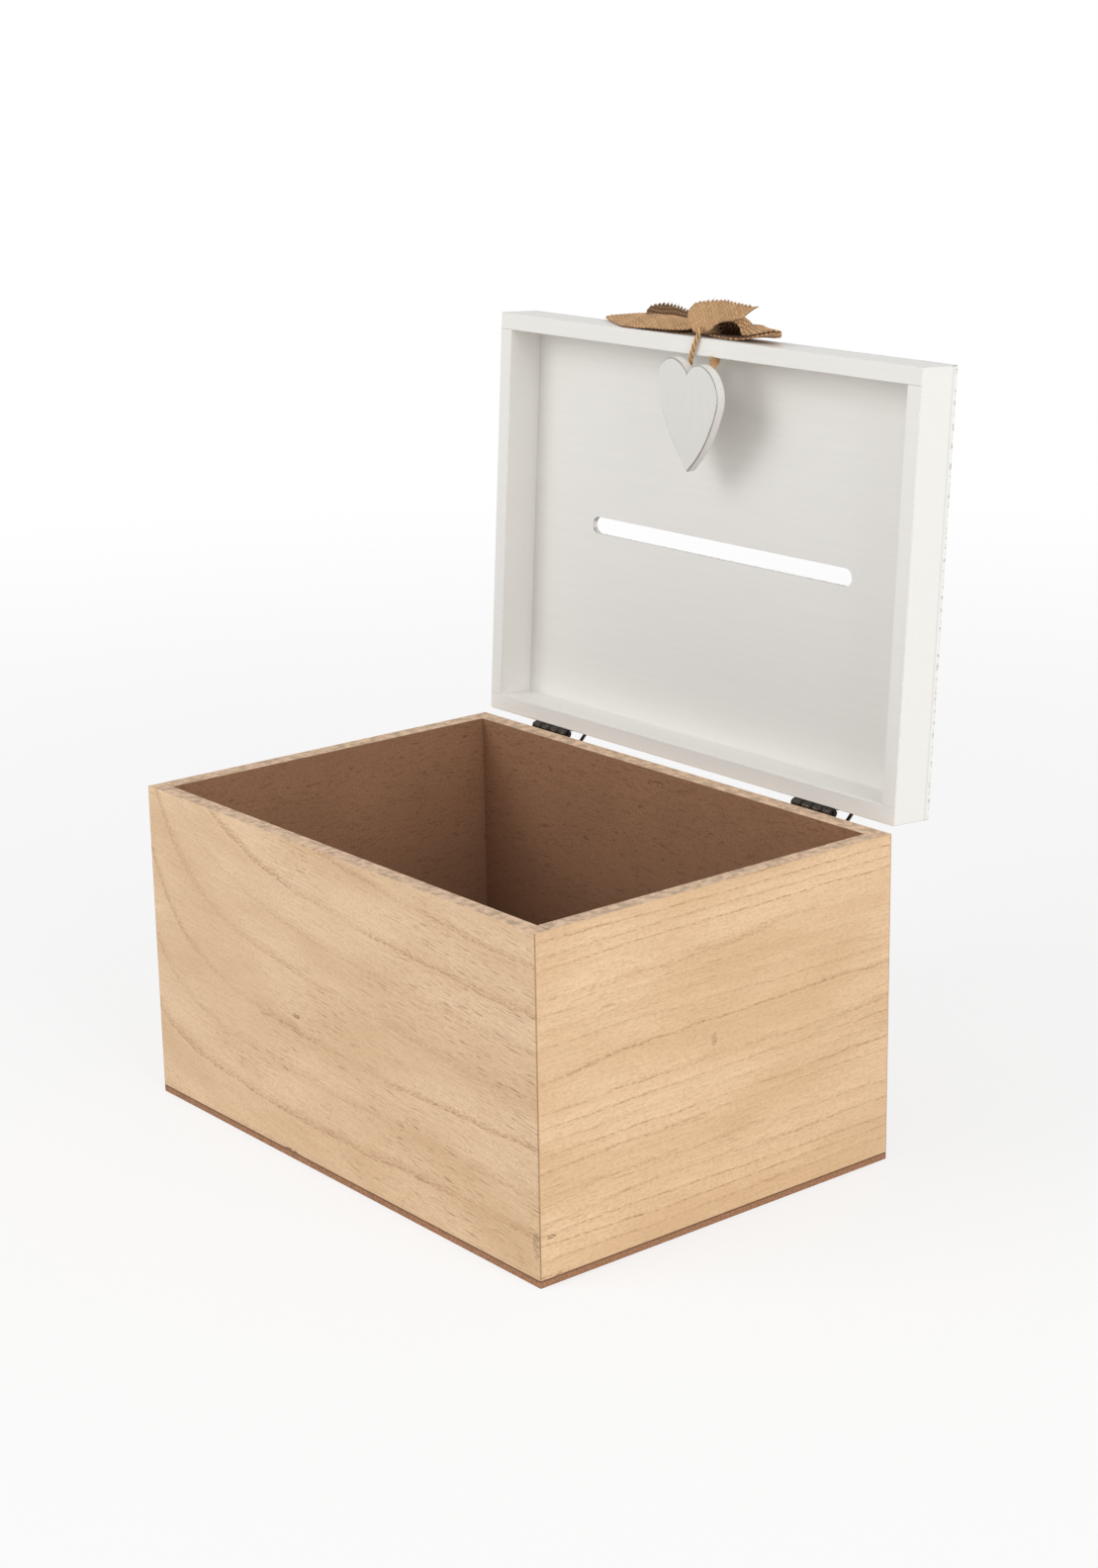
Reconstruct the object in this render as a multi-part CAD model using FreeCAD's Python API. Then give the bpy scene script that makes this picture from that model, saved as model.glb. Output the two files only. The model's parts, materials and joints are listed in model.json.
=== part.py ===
import FreeCAD, Part
import math
import os

# Wedding card box: veneered box, white slotted lid on two stop hinges, hessian bow, heart tag.
# Millimetres, +Z up, origin at the middle of the underside, front of the box towards -Y.
# The lid is drawn shut and then turned open; the heart tag is drawn where it hangs.

# Box
BOX_WIDTH = 300.0
BOX_DEPTH = 210.0
BOX_HEIGHT = 160.0
BOARD = 8.0
VENEER = 0.6
BASE_BOARD = 3.5
BASE_EDGE_ROUND = 0.5
RIM_BEVEL = 0.35
CORNER_BEVEL = 0.25

# Lid
LID_SIDE_INSET = 1.2
LID_HEIGHT = 23.0
LID_WALL = 8.6
LID_PANEL = 3.0
LID_GAP = 0.5
LID_OPEN_ANGLE = 93.56
LID_EDGE_ROUND = 0.8
LID_RIM_BEVEL = 0.4
SLOT_LENGTH = 187.0
SLOT_WIDTH = 8.8

# Hinges
HINGE_CENTRES = 194.0
HINGE_LENGTH = 27.0
HINGE_AXIS_OFFSET = 2.26
KNUCKLES = 4
KNUCKLE_GAP = 0.2
BARREL_RADIUS = 2.1
PIN_RADIUS = 0.9
PIN_CLEARANCE = 0.05
PIN_PROUD = 0.4
LEAF = 1.0
LEAF_REACH = 18.0
LEAF_CORNER = 2.0
LEAF_SETBACK = 2.6
STOP_ARM_WIDTH = 1.5
STOP_ARM_SPACING = 32.0
STOP_ARM_ROOT = 13.0
STOP_ARM_SLOPE = 44.0
STOP_ARM_REACH = 13.6
STOP_EAR_HEIGHT = 5.0
STOP_GAP = 0.15

# Countersunk hinge screws
SCREW_SPACING = 15.0
SCREW_HEAD_RADIUS = 2.2
SCREW_HEAD_DEPTH = LEAF
SCREW_SHANK_RADIUS = 1.0
SCREW_LENGTH = 7.0

# Bow of hessian ribbon on the lid's front wall
RIBBON = 1.2
BOW_LIFT = 0.4
KNOT_HALF_WIDTH = 6.5
KNOT_BOTTOM = 4.0
KNOT_TOP = 19.5
KNOT_DEPTH = 8.0
KNOT_ROUND = 2.4
LOOP_FOLDS = 22
HOLLOW_START = 6.0
HOLLOW_SHARE = 0.72
PINK_PITCH = 2.9
PINK_DEPTH = 1.1

# Heart tag and the twine it hangs on
HEART_WIDTH = 51.0
HEART_HEIGHT = 54.0
HEART_LOBE_OFFSET = 11.4
HEART_LOBE_END = 20.0
HEART_THICKNESS = 5.0
HEART_EDGE_BEVEL = 0.5
HEART_YAW = -8.0
HEART_LEAN = 2.5
HEART_ROLL = 4.0
NOTCH_FRONT = FreeCAD.Vector(2.0, 113.2, 354.25)
TWINE = 2.2
TWINE_SIDES = 10
HANG_ALONG = 4.6
HANG_OUT = 5.0
HANG_FORWARD = 0.3
TWINE_BEND = 0.45

# Places worked out from the sizes above
FRONT_Y = -BOX_DEPTH / 2
BACK_Y = BOX_DEPTH / 2
HALF_WIDTH = BOX_WIDTH / 2
LID_HALF = HALF_WIDTH - LID_SIDE_INSET
LID_FRONT_Y = FRONT_Y + LID_SIDE_INSET
LID_RIM_Z = BOX_HEIGHT + LID_GAP
LID_TOP_Z = LID_RIM_Z + LID_HEIGHT
HINGE_Y = BACK_Y + HINGE_AXIS_OFFSET
HINGE_Z = BOX_HEIGHT + LID_GAP / 2
HINGE_X = (-HINGE_CENTRES / 2, HINGE_CENTRES / 2)
X_AXIS = FreeCAD.Vector(1, 0, 0)
Y_AXIS = FreeCAD.Vector(0, 1, 0)
Z_AXIS = FreeCAD.Vector(0, 0, 1)
HINGE_POINT = FreeCAD.Vector(0, HINGE_Y, HINGE_Z)


def block(x0, x1, y0, y1, z0, z1):
    """Rectangular board between two corners."""
    return Part.makeBox(x1 - x0, y1 - y0, z1 - z0, FreeCAD.Vector(x0, y0, z0))


def edges_along(shape, axis, test):
    """Straight edges of a shape that run along an axis and whose middle passes a test."""
    found = []
    for edge in shape.Edges:
        run = edge.lastVertex().Point - edge.firstVertex().Point
        if run.Length > 0 and abs(run.dot(axis)) > 0.999 * run.Length and test(edge.CenterOfMass):
            found.append(edge)
    return found


def opened(shape):
    """Turn a shape that is drawn with the lid shut to the open lid."""
    turned = shape.copy()
    turned.rotate(HINGE_POINT, X_AXIS, -LID_OPEN_ANGLE)
    return turned


def save(shape, name):
    """Write one piece to its own file."""
    shape.exportStep("parts/" + name + ".step")


def box_boards():
    """Base board, four fibreboard walls and the veneer on each wall."""
    base = block(-HALF_WIDTH, HALF_WIDTH, FRONT_Y, BACK_Y, 0, BASE_BOARD)
    base = base.makeFillet(BASE_EDGE_ROUND, edges_along(base, Z_AXIS, lambda middle: True))
    low, high = BASE_BOARD, BOX_HEIGHT
    core_x = HALF_WIDTH - VENEER
    core_front = FRONT_Y + VENEER
    core_back = BACK_Y - VENEER
    inner_front = core_front + BOARD
    inner_back = core_back - BOARD
    inner_x = core_x - BOARD
    boards = {
        "front_wall": block(-core_x, core_x, core_front, inner_front, low, high),
        "back_wall": block(-core_x, core_x, inner_back, core_back, low, high),
        "left_wall": block(-core_x, -inner_x, inner_front, inner_back, low, high),
        "right_wall": block(inner_x, core_x, inner_front, inner_back, low, high),
        "front_veneer": block(-HALF_WIDTH, HALF_WIDTH, FRONT_Y, core_front, low, high),
        "back_veneer": block(-HALF_WIDTH, HALF_WIDTH, core_back, BACK_Y, low, high),
        "left_veneer": block(-HALF_WIDTH, -core_x, core_front, core_back, low, high),
        "right_veneer": block(core_x, HALF_WIDTH, core_front, core_back, low, high),
    }
    for name, board in boards.items():
        axis = X_AXIS if name.startswith(("front", "back")) else Y_AXIS
        middle = board.BoundBox.Center
        reach = abs(middle.x) + abs(middle.y)
        side = -1 if name.endswith("wall") else 1
        rims = edges_along(
            board, axis, lambda m: m.z > middle.z and side * (abs(m.x) + abs(m.y) - reach) > 0)
        boards[name] = board.makeChamfer(RIM_BEVEL, rims)
        if name in ("front_veneer", "back_veneer"):
            corners = edges_along(boards[name], Z_AXIS, lambda m: abs(m.y) > abs(middle.y))
            boards[name] = boards[name].makeChamfer(CORNER_BEVEL, corners)
    boards["base_board"] = base
    return boards


def card_slot():
    """Round-ended cutter for the slot through the lid panel."""
    radius = SLOT_WIDTH / 2
    straight = SLOT_LENGTH / 2 - radius
    middle_y = (LID_FRONT_Y + BACK_Y) / 2
    floor_z = LID_TOP_Z - 2 * LID_PANEL
    cutter = block(-straight, straight, middle_y - radius, middle_y + radius, floor_z, LID_TOP_Z + LID_PANEL)
    for end_x in (-straight, straight):
        end = Part.makeCylinder(radius, 3 * LID_PANEL, FreeCAD.Vector(end_x, middle_y, floor_z))
        cutter = cutter.fuse(end)
    return cutter.removeSplitter()


def lid_boards():
    """Four lid walls, butted at the corners, and the slotted panel on top of them."""
    wall_top = LID_TOP_Z - LID_PANEL
    inner_front = LID_FRONT_Y + LID_WALL
    inner_back = BACK_Y - LID_WALL
    inner_x = LID_HALF - LID_WALL
    front = block(-LID_HALF, LID_HALF, LID_FRONT_Y, inner_front, LID_RIM_Z, wall_top)
    front = front.makeFillet(LID_EDGE_ROUND, edges_along(front, Z_AXIS, lambda m: m.y < LID_FRONT_Y + 1))
    back = block(-LID_HALF, LID_HALF, inner_back, BACK_Y, LID_RIM_Z, wall_top)
    back = back.makeFillet(LID_EDGE_ROUND, edges_along(back, Z_AXIS, lambda m: m.y > BACK_Y - 1))
    panel = block(-LID_HALF, LID_HALF, LID_FRONT_Y, BACK_Y, wall_top, LID_TOP_Z)
    panel = panel.makeFillet(LID_EDGE_ROUND, edges_along(panel, Z_AXIS, lambda middle: True))
    top_rim = [e for e in panel.Edges if e.CenterOfMass.z > LID_TOP_Z - LID_EDGE_ROUND / 2]
    panel = panel.makeChamfer(LID_EDGE_ROUND / 2, top_rim).cut(card_slot())
    left = block(-LID_HALF, -inner_x, inner_front, inner_back, LID_RIM_Z, wall_top)
    right = block(inner_x, LID_HALF, inner_front, inner_back, LID_RIM_Z, wall_top)
    boards = {"lid_front_wall": front, "lid_back_wall": back, "lid_left_wall": left, "lid_right_wall": right}
    for name, wall in boards.items():
        rim = [e for e in wall.Edges if e.BoundBox.ZMax < LID_RIM_Z + 0.01]
        if wall in (left, right):
            rim = edges_along(wall, Y_AXIS, lambda m: m.z < LID_RIM_Z + 0.01)
        boards[name] = wall.makeChamfer(LID_RIM_BEVEL, rim)
    boards["lid_top_panel"] = panel
    return boards


def screw():
    """Countersunk wood screw, head at the origin and shank towards -Y."""
    outline = [
        (0, 0),
        (SCREW_HEAD_RADIUS, 0),
        (SCREW_SHANK_RADIUS, SCREW_HEAD_DEPTH),
        (SCREW_SHANK_RADIUS, SCREW_LENGTH),
        (0, SCREW_LENGTH),
        (0, 0),
    ]
    wire = Part.makePolygon([FreeCAD.Vector(r, -depth, 0) for r, depth in outline])
    return Part.Face(wire).revolve(FreeCAD.Vector(), Y_AXIS, 360)


def at_places(shape, places):
    """Copies of a shape, one at each place."""
    copies = []
    for place in places:
        copy = shape.copy()
        copy.translate(place)
        copies.append(copy)
    return copies


def screw_places(side):
    """Screw heads on the leaves of both hinges: side -1 is below the hinge line, 1 above it."""
    height = HINGE_Z + side * (LEAF_SETBACK + LEAF_REACH) / 2
    places = []
    for hinge_x in HINGE_X:
        for step in (-SCREW_SPACING / 2, SCREW_SPACING / 2):
            places.append(FreeCAD.Vector(hinge_x + step, BACK_Y + LEAF, height))
    return places


def knuckle_spans(first):
    """Start and end of every second knuckle along a hinge centred on x = 0."""
    pitch = HINGE_LENGTH / KNUCKLES
    spans = []
    for index in range(first, KNUCKLES, 2):
        start = -HINGE_LENGTH / 2 + index * pitch
        spans.append((start + KNUCKLE_GAP / 2, start + pitch - KNUCKLE_GAP / 2))
    return spans


def leaf(side, first_knuckle):
    """Hinge leaf on a back face, with its rolled knuckles: side -1 goes down, 1 goes up."""
    half = HINGE_LENGTH / 2
    near = HINGE_Z + side * LEAF_SETBACK
    far = HINGE_Z + side * LEAF_REACH
    plate = block(-half, half, BACK_Y, BACK_Y + LEAF, min(near, far), max(near, far))
    corners = edges_along(plate, Y_AXIS, lambda m: abs(m.z - far) < 0.1)
    plate = plate.makeChamfer(LEAF_CORNER, corners)
    for start, end in knuckle_spans(first_knuckle):
        roll = Part.makeCylinder(BARREL_RADIUS, end - start, FreeCAD.Vector(start, HINGE_Y, HINGE_Z), X_AXIS)
        neck = block(start, end, BACK_Y, BACK_Y + LEAF, min(near, HINGE_Z), max(near, HINGE_Z))
        plate = plate.fuse(roll).fuse(neck)
    bore = Part.makeCylinder(
        PIN_RADIUS + PIN_CLEARANCE, HINGE_LENGTH, FreeCAD.Vector(-half, HINGE_Y, HINGE_Z), X_AXIS)
    return plate.cut(bore).removeSplitter()


def stop_arms():
    """Two strips bent out of the box leaf that the open lid's back wall comes down on."""
    root_z = HINGE_Z - STOP_ARM_ROOT
    slope = math.radians(STOP_ARM_SLOPE)
    rise = Y_AXIS * math.cos(slope) + Z_AXIS * math.sin(slope)
    across = Z_AXIS * math.cos(slope) - Y_AXIS * math.sin(slope)
    foot = FreeCAD.Vector(0, BACK_Y, root_z)
    corners = [foot, foot + rise * 2 * STOP_ARM_REACH]
    corners.append(corners[1] + across * LEAF)
    corners.append(foot + Z_AXIS * (LEAF / math.cos(slope)))
    corners.append(foot)
    arm = Part.Face(Part.makePolygon(corners)).extrude(X_AXIS * STOP_ARM_WIDTH)
    lid_back = block(-HALF_WIDTH, HALF_WIDTH, 0, BACK_Y + STOP_GAP, LID_RIM_Z - BOX_HEIGHT, LID_TOP_Z)
    arms = []
    for sign in (-1, 1):
        ear_half = STOP_ARM_SPACING / 2 + STOP_ARM_WIDTH / 2
        bent = arm.copy()
        bent.translate(X_AXIS * (sign * STOP_ARM_SPACING / 2 - STOP_ARM_WIDTH / 2))
        bent = bent.cut(opened(lid_back))
        bent = [s for s in bent.Solids if s.BoundBox.YMin < BACK_Y + LEAF][0]
        ear = block(0, ear_half, BACK_Y, BACK_Y + LEAF, root_z - STOP_EAR_HEIGHT, root_z + LEAF)
        if sign < 0:
            ear = ear.mirror(FreeCAD.Vector(), X_AXIS)
        arms.append(ear.fuse(bent))
    return arms


def hinges():
    """Leaves and pins of the two stop hinges, and the screws that hold the leaves."""
    box_leaf = leaf(-1, 1)
    for arm in stop_arms():
        box_leaf = box_leaf.fuse(arm)
    box_leaf = box_leaf.removeSplitter()
    lid_leaf = leaf(1, 0)
    half_pin = HINGE_LENGTH / 2 + PIN_PROUD
    pin = Part.makeCylinder(PIN_RADIUS, 2 * half_pin, FreeCAD.Vector(-half_pin, HINGE_Y, HINGE_Z), X_AXIS)
    box_screws = at_places(screw(), screw_places(-1))
    lid_screws = at_places(screw(), screw_places(1))
    pieces = {}
    for name, hinge_x in zip(("left", "right"), HINGE_X):
        for part_name, shape, screws in (
                ("hinge_box_leaf", box_leaf, box_screws),
                ("hinge_lid_leaf", lid_leaf, lid_screws),
                ("hinge_pin", pin, [])):
            placed = shape.copy()
            placed.translate(X_AXIS * hinge_x)
            for thread in screws:
                placed = placed.cut(thread)
            pieces[name + "_" + part_name] = placed
    return pieces, box_screws, lid_screws


def bow_point(along, up, out):
    """Point on the bow: along the front wall, up from the lid's rim, out from the wall."""
    return FreeCAD.Vector(along, LID_FRONT_Y - out, LID_RIM_Z + up)


def loop_folds(side, start, up, length, rise, foot, blunt):
    """Points round a ribbon loop along one edge of the ribbon; blunt 1 is a full round tip."""
    shares = [
        (0.05, 0.46), (0.24, 0.20), (0.46, 0.0), (0.70, 0.0), (0.92, 0.0), (1.05, 0.3 * blunt),
        (1.03, 0.2 + 0.65 * blunt), (0.88, 0.35 + 0.65 * blunt), (0.66, 0.7 + 0.3 * blunt),
        (0.44, 1.0), (0.22, 0.78),
    ]
    poles = []
    for along, share in shares:
        poles.append(bow_point(side * (start + along * length), up, foot + share * rise))
    curve = Part.BSplineCurve()
    curve.buildFromPoles(poles, True, 3)
    first, last = curve.FirstParameter, curve.LastParameter
    return [curve.value(first + (last - first) * index / LOOP_FOLDS) for index in range(LOOP_FOLDS)]


def closed_outline(points):
    """Closed polygon through points."""
    return Part.makePolygon(points + points[:1])


def ribbon_loop(side, rim_edge, panel_edge):
    """Hollow loop of ribbon, creased from edge to edge; an edge is (height, length, rise, foot, blunt)."""
    rings = [[], []]
    for up, length, rise, foot, blunt in (rim_edge, panel_edge):
        span = HOLLOW_SHARE * length - HOLLOW_START
        rings[0].append(loop_folds(side, 0, up, length, rise, foot, blunt))
        rings[1].append(loop_folds(side, HOLLOW_START, up, span, rise - 3 * RIBBON, foot + RIBBON, blunt))
    faces = [Part.Face([closed_outline(outer), closed_outline(inner)]) for outer, inner in zip(*rings)]
    for low, high in rings:
        for index in range(LOOP_FOLDS):
            before = index - 1
            faces.append(Part.Face(closed_outline([low[before], low[index], high[index]])))
            faces.append(Part.Face(closed_outline([low[before], high[index], high[before]])))
    shell = Part.makeShell(faces)
    shell.sewShape()
    loop = Part.makeSolid(shell)
    if loop.Volume < 0:
        loop.reverse()
    return loop


def pinked_edge(start, end):
    """Zigzag points of an edge cut with pinking shears, from start to end in the sheet's plane."""
    run = end - start
    teeth = max(2, round(run.Length / PINK_PITCH))
    step = run / teeth
    inward = FreeCAD.Vector(-run.y, run.x, 0).normalize() * -PINK_DEPTH
    points = []
    for index in range(teeth):
        points.append(start + step * index)
        points.append(start + step * (index + 0.5) + inward)
    points.append(end)
    return points


def ribbon_tail(root, cut_end, edge, up, lean):
    """Flat tail of ribbon in (along, out) corners: root, pinked end, plain edge back to the root."""
    outline = [FreeCAD.Vector(along, out, 0) for along, out in root]
    corners = [FreeCAD.Vector(along, out, 0) for along, out in cut_end]
    for start, end in zip(corners, corners[1:]):
        outline += pinked_edge(start, end)[:-1]
    outline += corners[-1:]
    outline += [FreeCAD.Vector(along, out, 0) for along, out in edge]
    outline.append(outline[0])
    sheet = Part.Face(Part.makePolygon([bow_point(p.x, up, p.y) for p in outline]))
    sheet = sheet.extrude(Z_AXIS * RIBBON)
    sheet.rotate(bow_point(0, up, root[0][1]), X_AXIS, -lean)
    return sheet


def bow():
    """Knot, two loops and two pinked tails of the hessian bow."""
    knot = block(-KNOT_HALF_WIDTH, KNOT_HALF_WIDTH, LID_FRONT_Y - KNOT_DEPTH, LID_FRONT_Y - BOW_LIFT,
                 LID_RIM_Z + KNOT_BOTTOM, LID_RIM_Z + KNOT_TOP)
    knot = knot.makeFillet(KNOT_ROUND, edges_along(knot, Z_AXIS, lambda middle: True))
    back_root = [(-4.0, 7.4), (-50.0, 7.4)]
    back_end = [(-49.0, 9.8), (-41.3, 11.7), (-30.0, 11.3)]
    back_edge = [(-21.7, 9.8), (-4.0, 8.8)]
    front_root = [(-3.7, 3.3), (-8.6, 9.8)]
    front_end = [(-4.2, 15.4), (13.0, 18.0), (34.2, 17.6)]
    front_edge = [(39.0, 17.4), (29.0, 12.0), (21.0, 10.9), (11.5, 6.9), (9.5, 5.0), (2.6, 3.3)]
    pieces = {
        "bow_left_loop": ribbon_loop(-1, (1.0, 54.4, 6.0, BOW_LIFT, 1.0), (21.5, 87.0, 6.4, BOW_LIFT, 0.25)),
        "bow_right_loop": ribbon_loop(1, (3.4, 53.2, 6.0, 2.2, 0.9), (21.5, 35.6, 7.0, 1.8, 0.4)),
        "bow_left_tail": ribbon_tail(back_root, back_end, back_edge, 13.5, 0.0),
        "bow_right_tail": ribbon_tail(front_root, front_end, front_edge, 0.9, 14.0),
    }
    for name in pieces:
        pieces[name] = pieces[name].cut(knot)
    trimmed = pieces["bow_right_loop"].cut(pieces["bow_right_tail"])
    pieces["bow_right_loop"] = max(trimmed.Solids, key=lambda solid: solid.Volume)
    pieces["bow_knot"] = knot
    return pieces


def heart_tag():
    """Heart of painted board: two lobes and two flanks, all arcs, turned to how it hangs."""
    radius = HEART_WIDTH / 2 - HEART_LOBE_OFFSET
    centre_v = -math.sqrt(radius ** 2 - HEART_LOBE_OFFSET ** 2)
    tip_v = centre_v + radius - HEART_HEIGHT
    end = math.radians(HEART_LOBE_END)
    lobe_end = (HEART_LOBE_OFFSET + radius * math.cos(end), centre_v - radius * math.sin(end))
    lobe_mid = (HEART_LOBE_OFFSET + radius * math.cos(math.radians(60)),
                centre_v + radius * math.sin(math.radians(60)))
    reach_u, reach_v = lobe_end[0], lobe_end[1] - tip_v
    normal_u, normal_v = math.cos(end), -math.sin(end)
    flank = (reach_u ** 2 + reach_v ** 2) / (2 * (reach_u * normal_u + reach_v * normal_v))
    flank_u = lobe_end[0] - flank * normal_u
    flank_v = lobe_end[1] - flank * normal_v
    middle_angle = (math.atan2(lobe_end[1] - flank_v, lobe_end[0] - flank_u)
                    + math.atan2(tip_v - flank_v, -flank_u)) / 2
    flank_mid = (flank_u + flank * math.cos(middle_angle), flank_v + flank * math.sin(middle_angle))
    edges = []
    for sign in (1, -1):
        notch, lobe, shoulder, side, tip = [
            FreeCAD.Vector(sign * u, 0, v)
            for u, v in ((0, 0), lobe_mid, lobe_end, flank_mid, (0, tip_v))]
        edges.append(Part.Arc(notch, lobe, shoulder).toShape())
        edges.append(Part.Arc(shoulder, side, tip).toShape())
    outline = Part.Wire(Part.__sortEdges__(edges))
    tag = Part.Face(outline).extrude(Y_AXIS * HEART_THICKNESS)
    rims = [e for e in tag.Edges if e.BoundBox.YLength < 0.01]
    tag = tag.makeChamfer(HEART_EDGE_BEVEL, rims)
    tag.rotate(FreeCAD.Vector(), Y_AXIS, HEART_ROLL)
    tag.rotate(FreeCAD.Vector(), X_AXIS, HEART_LEAN)
    tag.rotate(FreeCAD.Vector(), Z_AXIS, HEART_YAW)
    tag.translate(NOTCH_FRONT)
    return tag


def twine_route():
    """Corner points of the twine: out of the knot, over the rim, down and round behind the heart."""
    knot_exit = Part.Vertex(bow_point(HANG_ALONG, -HANG_FORWARD, HANG_OUT))
    start = opened(knot_exit).Point
    drops = [
        (-3.6, -3.0, -10.0),
        (-7.8, -0.6, -20.4),
        (-10.1, 0.0, -30.0),
        (-9.9, 0.4, -39.7),
        (-5.3, -0.1, -44.3),
        (1.3, -1.0, -44.3),
        (5.9, -1.8, -39.7),
        (6.2, -1.0, -27.0),
        (8.5, 0.8, -14.7),
    ]
    return [start] + [start + FreeCAD.Vector(*drop) for drop in drops]


def cord_tube(points, diameter):
    """Tube along straight runs joined by arcs as large as the runs allow."""
    edges = []
    start = points[0]
    radii = []
    for before, corner, after in zip(points, points[1:], points[2:]):
        into = (corner - before).normalize()
        out = (after - corner).normalize()
        turn = into.getAngle(out)
        trim = TWINE_BEND * min((corner - before).Length, (after - corner).Length)
        radius = trim / math.tan(turn / 2)
        radii.append(round(radius, 1))
        enter = corner - into * trim
        leave = corner + out * trim
        inside = (out - into).normalize()
        middle = corner + inside * (radius / math.cos(turn / 2) - radius)
        edges.append(Part.LineSegment(start, enter).toShape())
        edges.append(Part.Arc(enter, middle, leave).toShape())
        start = leave
    edges.append(Part.LineSegment(start, points[-1]).toShape())
    path = Part.Wire(edges)
    rim = Part.Circle(points[0], points[1] - points[0], diameter / 2).toShape().discretize(TWINE_SIDES + 1)
    section = Part.makePolygon(rim[:-1] + rim[:1])
    tube = path.makePipeShell([section], True, False)
    print("twine bend radii", radii, "length", round(path.Length, 1))
    print("volume", round(tube.Volume, 1), "of", round(Part.Face(section).Area * path.Length, 1))
    return tube


def main():
    os.makedirs("parts", exist_ok=True)
    box = box_boards()
    lid = lid_boards()
    hinge_pieces, box_screws, lid_screws = hinges()
    for thread in box_screws:
        for name in ("back_wall", "back_veneer"):
            box[name] = box[name].cut(thread)
    for thread in lid_screws:
        lid["lid_back_wall"] = lid["lid_back_wall"].cut(thread)
    for name, shape in box.items():
        save(shape, name)
    for name, shape in lid.items():
        save(opened(shape), name)
    for name, shape in hinge_pieces.items():
        save(opened(shape) if "lid" in name else shape, name)
    save(Part.makeCompound(box_screws), "box_hinge_screws")
    save(opened(Part.makeCompound(lid_screws)), "lid_hinge_screws")
    for name, shape in bow().items():
        save(opened(shape), name)
    save(heart_tag(), "heart_tag")
    save(cord_tube(twine_route(), TWINE), "heart_twine")


main()
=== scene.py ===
import json
import math

import bpy
import numpy as np
from bpy.props import FloatProperty, FloatVectorProperty, PointerProperty
from bpy.types import Operator, Panel, PropertyGroup
from mathutils import Matrix, Vector


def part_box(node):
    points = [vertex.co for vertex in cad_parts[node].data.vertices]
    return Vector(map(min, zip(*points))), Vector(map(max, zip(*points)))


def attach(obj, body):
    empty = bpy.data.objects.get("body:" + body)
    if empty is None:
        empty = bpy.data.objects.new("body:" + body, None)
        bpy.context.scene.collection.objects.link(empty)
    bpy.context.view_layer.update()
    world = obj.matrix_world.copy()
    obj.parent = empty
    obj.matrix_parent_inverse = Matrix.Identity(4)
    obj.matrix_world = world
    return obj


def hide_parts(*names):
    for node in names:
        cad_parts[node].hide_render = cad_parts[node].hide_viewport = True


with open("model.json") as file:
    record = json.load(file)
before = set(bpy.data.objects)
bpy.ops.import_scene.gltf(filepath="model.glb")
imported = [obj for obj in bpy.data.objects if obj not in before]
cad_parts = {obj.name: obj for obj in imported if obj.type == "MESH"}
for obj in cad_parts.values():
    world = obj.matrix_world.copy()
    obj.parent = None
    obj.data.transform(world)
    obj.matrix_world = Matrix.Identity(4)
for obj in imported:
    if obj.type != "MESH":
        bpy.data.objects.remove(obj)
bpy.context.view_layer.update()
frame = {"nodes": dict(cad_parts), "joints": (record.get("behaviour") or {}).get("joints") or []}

bl_info = {
    "name": "Wedding Card Box",
    "version": (1, 0, 0),
    "blender": (4, 5, 0),
    "location": "3D View > Sidebar > Card Box",
    "description": "Finishes, hessian bow, jute twine and studio for a wedding card box",
    "category": "Object",
}

MM = 0.001
TO_MM = (1000, 1000, 1000)
JOINTS = {joint["name"]: joint for joint in frame["joints"]}
BOX_HALF_WIDTH = 0.15
BOX_HALF_DEPTH = 0.105

# The lid is described as it lies shut, and then turned open about its hinge
HINGE = Vector(JOINTS["lid_hinge"]["pos_m"])
LID_TURN = math.radians(JOINTS["lid_hinge"]["range_deg"][0])
OPEN_LID = Matrix.Translation(HINGE) @ Matrix.Rotation(LID_TURN, 4, "X") @ Matrix.Translation(-HINGE)
LID_HALF_WIDTH = 0.1488
LID_FRONT_Y = -0.1038
LID_BACK_Y = 0.105
LID_RIM_Z = 0.1605
LID_WALL_TOP_Z = 0.1805
LID_TOP_Z = 0.1835

# Each knuckle of a hinge, and the barrel's end that is nearer the middle of the box, in millimetres
KNUCKLE_LENGTH = 6.75
BARREL_START = 97.0

# Corner points of the twine, in millimetres: out of the bow, over the rim, round behind the heart
TWINE_ROUTE = (
    (4.6, 120.633, 375.881),
    (1.0, 117.633, 365.881),
    (-3.2, 120.033, 355.481),
    (-5.5, 120.633, 345.881),
    (-5.3, 121.033, 336.181),
    (-0.7, 120.533, 331.581),
    (5.9, 119.633, 331.581),
    (10.5, 118.833, 336.181),
    (10.8, 119.633, 348.881),
    (13.1, 121.433, 361.181),
)

# The heart's notch, the middle and radius of its lobe and flank arcs on one side, all in millimetres,
# the slope of the line between the two arcs, and how the tag hangs, in degrees about z, x and y
HEART_NOTCH = (2.0, 113.2, 354.25)
HEART_LOBE = (11.4, -8.298, 14.1)
HEART_FLANK = (-52.693, 15.030, 82.306)
HEART_ARC_SLOPE = 20.0
HEART_HANG = (-8.0, 2.5, 4.0)


def shade(red, green, blue):
    """A colour as a picture editor shows it, 0 to 255, turned into linear light."""
    parts = [part / 255 for part in (red, green, blue)]
    return tuple(p / 12.92 if p < 0.04045 else ((p + 0.055) / 1.055) ** 2.4 for p in parts)


def colour(label, about, red, green, blue):
    """A colour property."""
    return FloatVectorProperty(
        name=label, description=about, subtype="COLOR", min=0, max=1, default=shade(red, green, blue))


def size(label, about, millimetres):
    """A length property, kept in metres."""
    return FloatProperty(
        name=label, description=about, subtype="DISTANCE", unit="LENGTH", precision=4,
        default=millimetres * MM)


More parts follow.
